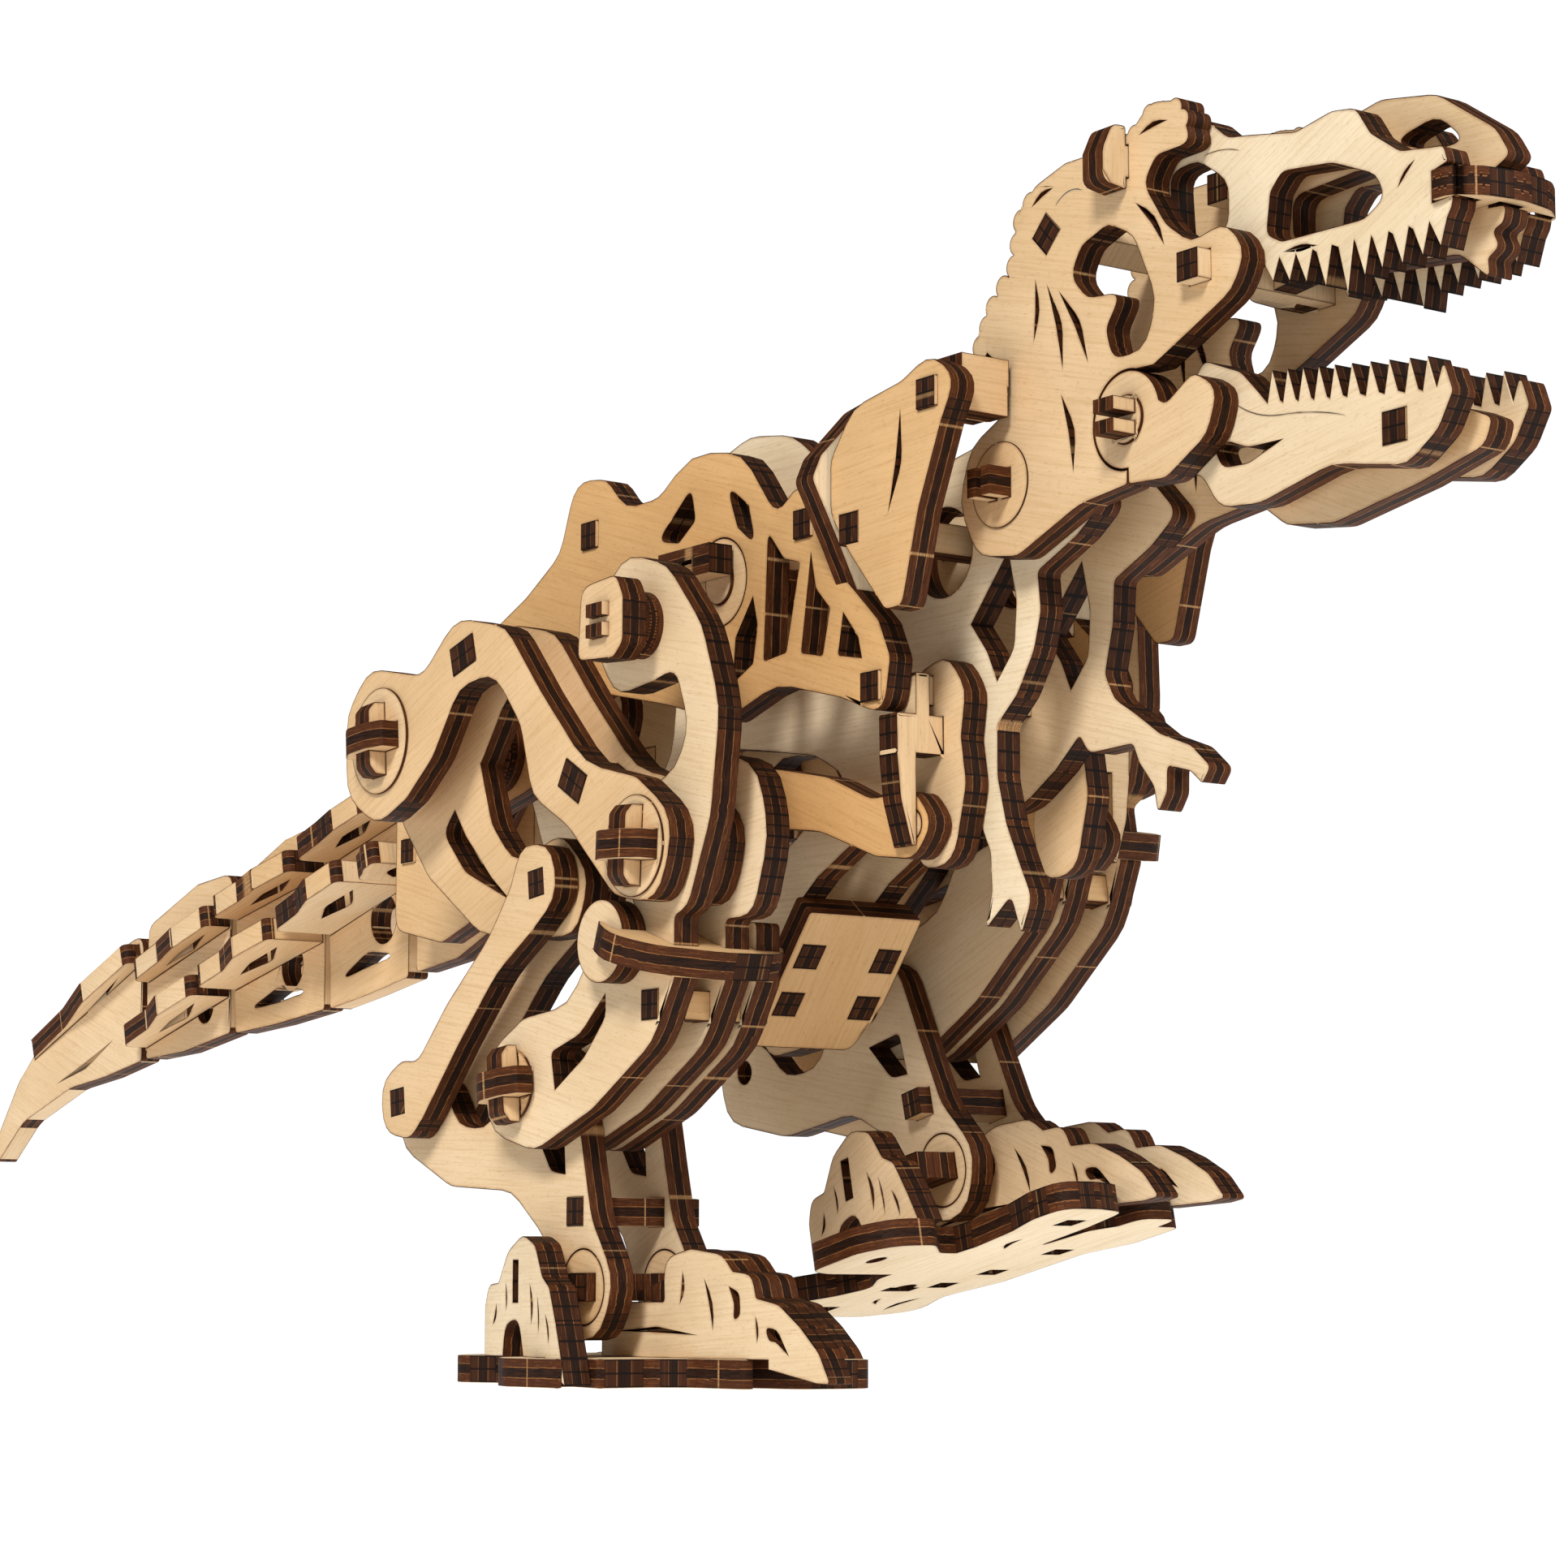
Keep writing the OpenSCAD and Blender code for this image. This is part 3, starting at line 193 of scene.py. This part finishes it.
def edge_material():
    """Laser-cut edge: three scorched plies, thin amber glue lines, fine beam marks and a few break marks."""
    g = Graph("scorched_edge")
    board = g.attr("board").outputs["Vector"]
    parts = g.add("ShaderNodeSeparateXYZ")
    g.join(board, parts.inputs[0])
    depth = parts.outputs[2]
    wave = g.noise(g.stretch(board, (190, 190, 0)), 1.0, 3.0)
    wave = g.math("MULTIPLY", g.math("SUBTRACT", wave, 0.5), 0.09)
    depth = g.math("FRACT", g.math("ADD", depth, wave))
    off = g.math("ABSOLUTE", g.math("SUBTRACT", depth, 0.5))
    core = g.span(off, 0.14, 0.19, 1.0, 0.0)
    patch = g.noise(g.stretch(board, (80, 80, 300)), 1.0, 3.0, 0.6)
    beam = g.noise(g.stretch(board, (2400, 2400, 0.8)), 1.0, 2.0, 0.6)
    layer = g.noise(g.stretch(board, (420, 420, 26)), 1.0, 4.0, 0.65)
    outer = g.mix(g.span(patch, 0.34, 0.70), rgb(44, 22, 10), rgb(94, 50, 24))
    outer = g.mix(g.math("MULTIPLY", g.span(layer, 0.48, 0.72), 0.7), outer, rgb(124, 72, 36))
    inner = g.mix(g.span(layer, 0.35, 0.75), rgb(22, 11, 6), rgb(60, 32, 16))
    colour = g.mix(core, outer, inner)
    line = g.span(g.math("ABSOLUTE", g.math("SUBTRACT", off, 0.18)), 0.004, 0.022, 1.0, 0.0)
    line = g.math("MULTIPLY", line, g.span(layer, 0.34, 0.6, 0.2, 0.85))
    colour = g.mix(line, colour, rgb(160, 108, 62))
    skin = g.span(off, 0.45, 0.49)
    colour = g.mix(g.math("MULTIPLY", skin, 0.75), colour, rgb(34, 19, 12))
    colour = g.mix(g.math("MULTIPLY", g.span(beam, 0.50, 0.78), 0.26), colour, rgb(20, 12, 9))
    cells = g.add("ShaderNodeTexVoronoi", feature="DISTANCE_TO_EDGE", voronoi_dimensions="2D")
    g.join(g.stretch(board, (40, 40, 0)), cells.inputs["Vector"])
    cells.inputs["Scale"].default_value = 1.0
    mark = g.span(cells.outputs["Distance"], 0.002, 0.007, 1.0, 0.0)
    mark = g.math("MULTIPLY", mark, g.span(patch, 0.40, 0.6, 0.0, 0.85))
    colour = g.mix(mark, colour, rgb(222, 172, 116))
    across = g.math("ABSOLUTE", g.attr("slit").outputs["Fac"])
    on_tab = g.span(across, 2.0, 3.0, 1.0, 0.0)
    colour = g.mix(g.math("MULTIPLY", on_tab, 0.45), colour, rgb(30, 18, 12))
    border = g.math("MULTIPLY", g.span(across, 0.84, 0.96), on_tab)
    cut = g.math("ADD", g.span(across, 0.04, 0.09, 1.0, 0.0), border)
    colour = g.mix(g.math("MINIMUM", cut, 0.92), colour, rgb(14, 8, 6))
    g.join(colour, g.bsdf.inputs["Base Color"])
    g.join(g.span(patch, 0.3, 0.7, 0.55, 0.72), g.bsdf.inputs["Roughness"])
    g.bsdf.inputs["Specular IOR Level"].default_value = 0.12
    height = g.math("ADD", g.math("MULTIPLY", beam, 0.6), g.math("MULTIPLY", line, -0.5))
    g.bump(height, 0.35, 0.00012)
    return g.mat


FACE = face_material()
EDGE = edge_material()


# ---------------------------------------------------------------- boards
MANY_WAYS = {"tail_root": 5, "tail_near": 5, "tail_mid": 5, "tail_far": 5, "tail_tip": 5, "hip_pins": 3,
             "knee_pin_right": 3, "knee_pin_left": 3, "hock_pin_right": 3, "hock_pin_left": 3,
             "swing_link_right": 2, "swing_link_left": 2, "skull_bars": 2}
# pegs that stand out of round plates: how far, and whether a key crosses a tongue
PEGS = {"hip_pins": (3.8 * MM, True), "knee_pin": (3.8 * MM, True), "hock_pin": (3.8 * MM, True),
        "skull_bars": (3.4 * MM, False), "jaw_bars": (3.4 * MM, False), "crank_pin": (1.0 * MM, False)}
# how pale each kind of board is, 0 golden to 1 pale; partly the birch's own colour and partly painted light and shade:
# paler for boards that face the light, more golden for boards in shade
TONES_WITH_PAINTED_LIGHT = {"body_side_plates": 0.15, "shoulder_plates": 0.2, "rump_plates": 0.3, "curved_rod": 0.15,
         "thigh_plates": 0.5, "knee_plate": 0.3, "belly_plate": 0.1, "chest_plate": 0.9, "collar_plate": 1.0,
         "shank_plates": 0.75, "snout_side_plates": 0.95, "snout_keel": 0.5, "jaw_side_plates": 0.9,
         "cheek_plates": 0.55, "crank_pin": 0.5, "tarsus_plates": 0.7, "push_rods": 0.45, "sole": 0.9,
         "toe_brackets": 0.8, "swing_link": 0.45}
BARS = ("body_spacers", "shoulder_axle", "neck_beam", "tarsus_bars_right", "tarsus_bars_left",
        "ankle_pin_right", "ankle_pin_left")
RIM = 0.42 * MM
CHAMFER = 0.10 * MM


def islands(bm):
    """Connected solids of a mesh, as lists of faces."""
    left = set(bm.faces)
    found = []
    while left:
        seed = left.pop()
        group = [seed]
        stack = [seed]
        while stack:
            for e in stack.pop().edges:
                for f in e.link_faces:
                    if f in left:
                        left.remove(f)
                        group.append(f)
                        stack.append(f)
        found.append(group)
    return found


def plate_normals(faces, count):
    """The directions with the most area: the board faces of a plate."""
    totals = []
    for f in sorted(faces, key=lambda f: -f.calc_area()):
        n = f.normal
        for t in totals:
            if abs(t[0].dot(n)) > 0.9995:
                t[1] += f.calc_area()
                break
        else:
            if len(totals) < 60:
                totals.append([n.copy(), f.calc_area()])
    totals.sort(key=lambda t: -t[1])
    best = totals[0][1]
    return [t[0] for t in totals[:count] if t[1] > 0.05 * best]


def grain_of(normal, seed):
    """Grain direction in the board's plane, near the long way of the sheet it was cut from."""
    rng = random.Random(seed)
    lead = Vector((math.cos(rng.uniform(-0.5, 0.5)), 0, math.sin(rng.uniform(-0.5, 0.5))))
    if abs(normal.z) > 0.9:
        lead = Vector((math.cos(rng.uniform(-0.3, 0.3)), math.sin(rng.uniform(-0.3, 0.3)), 0))
    u = lead - normal * lead.dot(normal)
    if u.length < 0.2:
        u = Vector((0, 1, 0)) - normal * normal.y
    return u.normalized()


def squares(bm, tab_u, tab_v):
    """Finds the square ends of tabs and stores each corner's place on them."""
    seen = set()
    found = set()
    for start in bm.faces:
        if start in seen:
            continue
        group = [start]
        stack = [start]
        seen.add(start)
        while stack:
            f = stack.pop()
            for e in f.edges:
                for g in e.link_faces:
                    if g not in seen and g.normal.dot(start.normal) > 0.99999:
                        seen.add(g)
                        group.append(g)
                        stack.append(g)
        verts = {v for f in group for v in f.verts}
        size = sum(f.calc_area() for f in group)
        if len(verts) != 4 or not 8e-6 < size < 26e-6:
            continue
        mid = sum((v.co for v in verts), Vector()) / 4
        arms = [v.co - mid for v in verts]
        if max(a.length for a in arms) > 1.06 * min(a.length for a in arms):
            continue
        first = verts.pop()
        near = sorted(verts, key=lambda v: (v.co - first.co).length)[:2]
        sides = [near[0].co - first.co, near[1].co - first.co]
        lead = Vector((1, 0, 0)) if abs(start.normal.x) < 0.7 else Vector((0, 1, 0))
        sides.sort(key=lambda q: -abs(q.dot(lead)))
        u, v = sides[0].normalized(), sides[1].normalized()
        if max(sides[0].length, sides[1].length) > 1.7 * min(sides[0].length, sides[1].length):
            continue
        half, tall = sides[0].length / 2, sides[1].length / 2
        for f in group:
            found.add(f)
            for loop in f.loops:
                loop[tab_u] = (loop.vert.co - mid).dot(u) / half
                loop[tab_v] = (loop.vert.co - mid).dot(v) / tall
    return found


def peg_faces(group, rise, keyed):
    """Faces of the peg that stands out of a round plate at each end of a solid, with the board each belongs to."""
    owners = {}
    for side in (1, -1):
        top = max(v.co.y * side for f in group for v in f.verts)
        if top < 9 * MM:
            continue
        base = top - rise
        zone = [f for f in group if min(v.co.y * side for v in f.verts) > base - 0.00002
                and not (abs(f.normal.y) > 0.99 and f.verts[0].co.y * side < base + 0.00002)]
        if not zone:
            continue
        corners = [v.co for f in zone for v in f.verts]
        if keyed:
            flat = max((f for f in zone if abs(f.normal.y) < 0.05), key=lambda f: f.calc_area()).normal
            tongue = flat.copy() if abs(flat.x) > 0.7 else Vector((flat.z, 0, -flat.x))
            key = Vector((-tongue.z, 0, tongue.x))
        else:
            span = [max(c[i] for c in corners) - min(c[i] for c in corners) for i in (0, 2)]
            end = max((f for f in zone if abs(f.normal.y) > 0.99), key=lambda f: f.calc_area())
            edges = sorted(end.edges, key=lambda e: -e.calc_length())
            mates = [e for e in edges if e.calc_length() > 3.5 * MM]
            run = (mates[-1].verts[0].co - mates[-1].verts[1].co) if mates else Vector((span[0], 0, 0))
            tongue = key = Vector((run.x, 0, run.z)).normalized()
        for n in (tongue, key):
            if n.x + n.z < 0:
                n.negate()
        # the middle comes from the extent along both directions
        mid = Vector()
        for n in (tongue, Vector((-tongue.z, 0, tongue.x))):
            reach = [c.dot(n) for c in corners]
            mid += n * (max(reach) + min(reach)) / 2
        for f in zone:
            c = f.calc_center_median() - mid
            n = tongue if not keyed or abs(c.dot(key)) > 1.93 * MM else key
            owners[f] = (n, mid.dot(n) + PLY / 2)
    return owners


def finish_boards(bm, node, seed, ways):
    """Merged solids become chamfered boards with grain, depth, rim and tab places stored on them."""
    bmesh.ops.remove_doubles(bm, verts=bm.verts, dist=2e-6)
    bmesh.ops.dissolve_degenerate(bm, dist=1e-6, edges=bm.edges)
    bm.normal_update()
    tab_u = bm.loops.layers.float.new("tab_u")
    tab_v = bm.loops.layers.float.new("tab_v")
    kind = bm.faces.layers.int.new("kind")
    plate = bm.faces.layers.int.new("plate")
    owner = bm.faces.layers.float_vector.new("owner_n")
    level = bm.faces.layers.float.new("owner_d")
    rim_layer = bm.verts.layers.float.new("rim_v")
    tabs = squares(bm, tab_u, tab_v)
    plates = []
    fixed = {}
    kind_of = node.rsplit("_right", 1)[0].rsplit("_left", 1)[0]
    for number, group in enumerate(islands(bm)):
        normals = plate_normals(group, ways)
        if node in BARS:
            ends = [f for f in group if abs(f.normal.y) > 0.99]
            size = sum(f.calc_area() for f in ends)
            if size < 2 * 60 * MM * MM:
                normals = [n for n in (f.normal for f in group) if abs(n.y) < 0.01][:1] or normals
                normals = [normals[0].copy()]
        keys = []
        for n in normals:
            keys.append(len(plates))
            plates.append((n, f"{node}{number}"))
        pegs = peg_faces(group, *PEGS[kind_of]) if kind_of in PEGS and len(group) > 30 else {}
        if pegs:
            tabs -= set(pegs)
        board_faces = []
        for f in group:
            f[kind] = 0
            f[plate] = keys[0]
            if f in pegs:
                n, d = pegs[f]
                for k, t in enumerate(plates):
                    if t[1] == f"{node}{number}peg" and t[0].dot(n) > 0.999:
                        break
                else:
                    k = len(plates)
                    plates.append((n, f"{node}{number}peg"))
                f[kind] = 1 if abs(f.normal.dot(n)) > 0.999 else 0
                f[plate] = k
                fixed[f] = (n * (1 if f.normal.dot(n) > 0 else -1), d, k)
                if f.normal.dot(n) < -0.999:
                    fixed[f] = (-n, -(d - PLY), k)
                elif abs(f.normal.dot(n)) < 0.999:
                    fixed[f] = (n, d, k)
                continue
            if f in tabs:
                f[kind] = 5
                continue
            for k, n in zip(keys, normals):
                if abs(f.normal.dot(n)) > 0.9995:
                    f[kind] = 1
                    f[plate] = k
                    board_faces.append(f)
                    break
    # board faces hand their board on to the edge faces beside them
    todo = [f for f in bm.faces if f[kind] == 1 and f not in fixed]
    flat = {f: (f.normal.copy(), f.normal.dot(f.verts[0].co), f[plate]) for f in todo}
    front = list(todo)
    flat.update(fixed)
    while front:
        nxt = []
        for f in front:
            n, d, p = flat[f]
            for e in f.edges:
                for g in e.link_faces:
                    if g not in flat and g[kind] in (0, 5) and abs(g.normal.dot(n)) < 0.3:
                        flat[g] = (n, d, p)
                        g[plate] = p
                        nxt.append(g)
        front = nxt
    for f in bm.faces:
        if f not in flat:
            flat[f] = (plates[f[plate]][0], plates[f[plate]][0].dot(f.verts[0].co), f[plate])
    for f, (n, d, p) in flat.items():
        f[owner] = n
        f[level] = d
        f[plate] = p
    # a narrow scorched chamfer and a rim band round every board face
    for k in range(len(plates)):
        for side in (1, -1):
            def wanted():
                return [f for f in bm.faces if f[kind] == 1 and f[plate] == k and f[owner].dot(plates[k][0]) * side > 0]
            region = wanted()
            if not region or sum(f.calc_area() for f in region) < 9e-6:
                continue
            n = region[0][owner].copy()
            d = region[0][level]
            for f in region:
                for e in f.edges:
                    if any(g[kind] != 1 or g[plate] != k or g[owner].dot(n) < 0.5 for g in e.link_faces):
                        for v in e.verts:
                            v[rim_layer] = 2.0
            for step, width in ((2, CHAMFER), (3, RIM)):
                ring = bmesh.ops.inset_region(bm, faces=wanted(), thickness=width, depth=0,
                                              use_boundary=True, use_even_offset=False)["faces"]
                for f in (r for r in ring if r.is_valid):
                    f[kind] = step
                    f[plate] = k
                    f[owner] = n
                    f[level] = d
            for f in wanted():
                for v in f.verts:
                    v[rim_layer] = 0.0
            for f in bm.faces:
                if f[kind] == 2 and f[plate] == k and f[owner].dot(n) > 0.5:
                    for v in f.verts:
                        if v[rim_layer] == 2.0:
                            v.co -= n * CHAMFER * 0.8
                            v[rim_layer] = 1.5
            for f in bm.faces:
                if f[kind] == 3 and f[plate] == k and f[owner].dot(n) > 0.5:
                    f[kind] = 1 + 3
                    for v in f.verts:
                        if any(g[kind] == 2 for g in v.link_faces):
                            v[rim_layer] = 1.0
    bm.normal_update()
    for f in bm.faces:
        f.material_index = 0 if f[kind] in (1, 4) else 1
        f.smooth = True
    # shading splits where two kinds of surface meet
    for e in bm.edges:
        if len(e.link_faces) == 2:
            e.smooth = e.calc_face_angle(0) < math.radians(32)
    mesh = bpy.data.meshes.new(node + "_wood")
    count = sum(len(f.verts) for f in bm.faces)
    board = np.zeros((count, 3), np.float32)
    tone = np.zeros(count, np.float32)
    rims = np.zeros(count, np.float32)
    slit = np.full(count, 9.0, np.float32)
    # each board's tone is its kind's value, which is partly painted light and shade, plus a random spread of real wood
    # colour
    base = TONES_WITH_PAINTED_LIGHT.get(node.rsplit("_right", 1)[0].rsplit("_left", 1)[0], 0.5)
    frames = []
    for k, (n, name) in enumerate(plates):
        rng = random.Random(f"{name}/{k}/{seed}")
        u = grain_of(n, f"{name}/{k}")
        frames.append((u, n.cross(u), rng.uniform(-5, 5), rng.uniform(-5, 5),
                       min(1, max(0, base + rng.uniform(-0.14, 0.14)))))
    i = 0
    for f in bm.faces:
        u, v, du, dv, t = frames[f[plate]]
        n, d = f[owner], f[level]
        for loop in f.loops:
            co = loop.vert.co
            board[i] = (co.dot(u) + du, co.dot(v) + dv, (d - n.dot(co)) / PLY)
            tone[i] = t
            rims[i] = min(1.0, loop.vert[rim_layer]) if f[kind] in (1, 4) else 0.0
            if f[kind] == 5:
                board[i][2] = 0.5 + 0.5 * loop[tab_u]
                slit[i] = loop[tab_v]
            i += 1
    bm.to_mesh(mesh)
    bm.free()
    mesh.attributes.new("board", "FLOAT_VECTOR", "CORNER").data.foreach_set("vector", board.ravel())
    mesh.attributes.new("tone", "FLOAT", "CORNER").data.foreach_set("value", tone)
    mesh.attributes.new("rim", "FLOAT", "CORNER").data.foreach_set("value", rims)
    mesh.attributes.new("slit", "FLOAT", "CORNER").data.foreach_set("value", slit)
    mesh.materials.append(FACE)
    mesh.materials.append(EDGE)
    piece = bpy.data.objects.new(node + "_wood", mesh)
    bpy.context.scene.collection.objects.link(piece)
    return piece


def dress(node, seed):
    """A finished copy of one CAD node, shown in its place."""
    source = frame["nodes"][node]
    bm = bmesh.new()
    bm.from_mesh(source.data)
    piece = finish_boards(bm, node, seed, MANY_WAYS.get(node, 1))
    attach(piece, source["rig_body"])
    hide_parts(node)
    return piece


BODY_OF = {node: frame["nodes"][node]["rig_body"] for node in frame["nodes"]}
for index, node in enumerate(sorted(frame["nodes"])):
    dress(node, index)


def block(corner, size, place, name, body, ways=1):
    """A small board between two corners of a local frame."""
    bm = bmesh.new()
    bmesh.ops.create_cube(bm, size=1.0)
    for v in bm.verts:
        v.co = place @ Vector([(corner[i] + (v.co[i] + 0.5) * size[i]) * MM for i in range(3)])
    bmesh.ops.recalc_face_normals(bm, faces=bm.faces)
    piece = finish_boards(bm, name, 1, ways)
    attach(piece, body)
    return piece


def inlay(x, z, y, size, turn, name, body, place=Matrix()):
    """A flush tab end on a side face at depth y, facing the near side."""
    frame_at = place @ Matrix.Translation(at(x, z, y)) @ Matrix.Rotation(math.radians(-turn), 4, "Y")
    block((-size[0] / 2, -0.05, -size[1] / 2), (size[0], 0.5, size[1]), frame_at, name, body)


def score(points, y, name, body, width=0.22):
    """A thin burnt line drawn on a side face, pointed at both ends."""
    bm = bmesh.new()
    rows = []
    for i, (x, z) in enumerate(points):
        a = points[max(0, i - 1)]
        b = points[min(len(points) - 1, i + 1)]
        n = Vector((-(b[1] - a[1]), 0, b[0] - a[0])).normalized()
        half = n * (width / 2 if 0 < i < len(points) - 1 else 0.03) * MM
        rows.append([bm.verts.new(at(x, z, y) + half * k) for k in (-1, 0, 1)])
    for r, q in zip(rows, rows[1:]):
        for k in (0, 1):
            bm.faces.new((r[k], q[k], q[k + 1], r[k + 1]))
    for f in bm.faces:
        f.normal_update()
        if f.normal.y > 0:
            f.normal_flip()
    mesh = bpy.data.meshes.new(name)
    bm.to_mesh(mesh)
    slit = [0.0 if loop.vertex_index % 3 == 1 else 1.0 for loop in mesh.loops]
    mesh.attributes.new("slit", "FLOAT", "CORNER").data.foreach_set("value", slit)
    mesh.attributes.new("board", "FLOAT_VECTOR", "CORNER").data.foreach_set(
        "vector", [c for loop in mesh.loops for c in mesh.vertices[loop.vertex_index].co])
    # the scored lines take a fixed board tone, which carries painted light and shade like every board's tone
    mesh.attributes.new("tone", "FLOAT", "CORNER").data.foreach_set("value", [0.8] * len(slit))
    mesh.materials.append(FACE)
    bm.free()
    piece = bpy.data.objects.new(name, mesh)
    bpy.context.scene.collection.objects.link(piece)
    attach(piece, body)


def bow(a, b, sag, steps=8):
    """Points of a shallow curve from a to b."""
    n = (-(b[1] - a[1]), b[0] - a[0])
    return [(a[0] + (b[0] - a[0]) * t + n[0] * sag * 4 * t * (1 - t), a[1] + (b[1] - a[1]) * t + n[1] * sag * 4 * t * (1 - t))
            for t in [i / steps for i in range(steps + 1)]]


# tab ends let into the belly plate
tilt = Matrix.Translation(at(9.4, 56.4)) @ Matrix.Rotation(math.radians(128.6), 4, "Y")
for k, (x, y) in enumerate(((-3.9, 6.4), (3.9, 6.4), (-3.9, -6.4), (3.9, -6.4))):
    block((x - 1.88, y - 1.88, -0.4), (3.76, 3.76, 4.22), tilt, f"belly_tab_{k + 1}", BODY_OF["belly_plate"])
# tab ends of the push rods, near leg
for k, (x, z) in enumerate(((-6, 67), (-42, 39))):
    inlay(x, z, -36.9, (3.8, 3.8), 6, f"rod_tab_{k + 1}", BODY_OF["push_rods_right"])
# cracks and wrinkles scored into the skull
HEAD = BODY_OF["cheek_plates"]
for s_side in (1, -1):
    tag = "near" if s_side > 0 else "far"
    score(bow((97.3, 148.1), (103.4, 147.3), 0.06) , -8.03 * s_side, f"brow_line_{tag}", HEAD, 0.26)
    score(bow((74.2, 146.6), (79.3, 147.4), 0.16), -12.03 * s_side, f"temple_line_{tag}", HEAD, 0.34)
    score(bow((102, 116.7), (109.8, 113.9), -0.07) + bow((109.8, 113.9), (120.5, 111.9), 0.03)[1:],
          -8.03 * s_side, f"jaw_line_{tag}", BODY_OF["jaw_side_plates"], 0.3)


# ---------------------------------------------------------------- floor and light
def floor():
    bpy.ops.mesh.primitive_plane_add(size=40, location=(0, 0, -0.0002))
    plane = bpy.context.object
    plane.name = "floor"
    g = Graph("floor_white")
    geo = g.add("ShaderNodeNewGeometry")
    n = g.noise(geo.outputs["Position"], 3.0, 2.0)
    g.join(g.mix(n, rgb(160, 160, 160), rgb(166, 166, 166)), g.bsdf.inputs["Base Color"])
    g.bsdf.inputs["Roughness"].default_value = 0.9
    g.bsdf.inputs["Specular IOR Level"].default_value = 0.1
    g.bsdf.inputs["Emission Color"].default_value = (1, 1, 1, 1)
    g.bsdf.inputs["Emission Strength"].default_value = 0.93
    plane.data.materials.append(g.mat)


def area(name, spot, aim, size, power, colour=(1, 1, 1)):
    data = bpy.data.lights.new(name, "AREA")
    data.shape = "DISK"
    data.size = size
    data.energy = power
    data.color = colour
    lamp = bpy.data.objects.new(name, data)
    bpy.context.scene.collection.objects.link(lamp)
    lamp.location = spot
    lamp.rotation_euler = (Vector(spot) - Vector(aim)).to_track_quat("Z", "Y").to_euler()


floor()
sun_data = bpy.data.lights.new("sun", "SUN")
sun_data.energy = 2.9
sun_data.angle = math.radians(16)
sun_data.color = (1.0, 0.985, 0.96)
sun = bpy.data.objects.new("sun", sun_data)
bpy.context.scene.collection.objects.link(sun)
sun.rotation_euler = Vector((0.55, -0.75, 0.75)).to_track_quat("Z", "Y").to_euler()
area("rim", (0.9, 0.4, 0.6), (0.0, 0.0, 0.08), 0.5, 3.5)
world = bpy.data.worlds.new("studio")
bpy.context.scene.world = world
world.use_nodes = True
tree = world.node_tree
seen = tree.nodes.new("ShaderNodeLightPath")
strength = tree.nodes.new("ShaderNodeMapRange")
strength.inputs["To Min"].default_value = 0.12
strength.inputs["To Max"].default_value = 1.05
tree.links.new(seen.outputs["Is Camera Ray"], strength.inputs["Value"])
tree.links.new(strength.outputs["Result"], tree.nodes["Background"].inputs[1])
tree.nodes["Background"].inputs[0].default_value = (1, 1, 1, 1)
bpy.context.scene.view_settings.view_transform = "Standard"
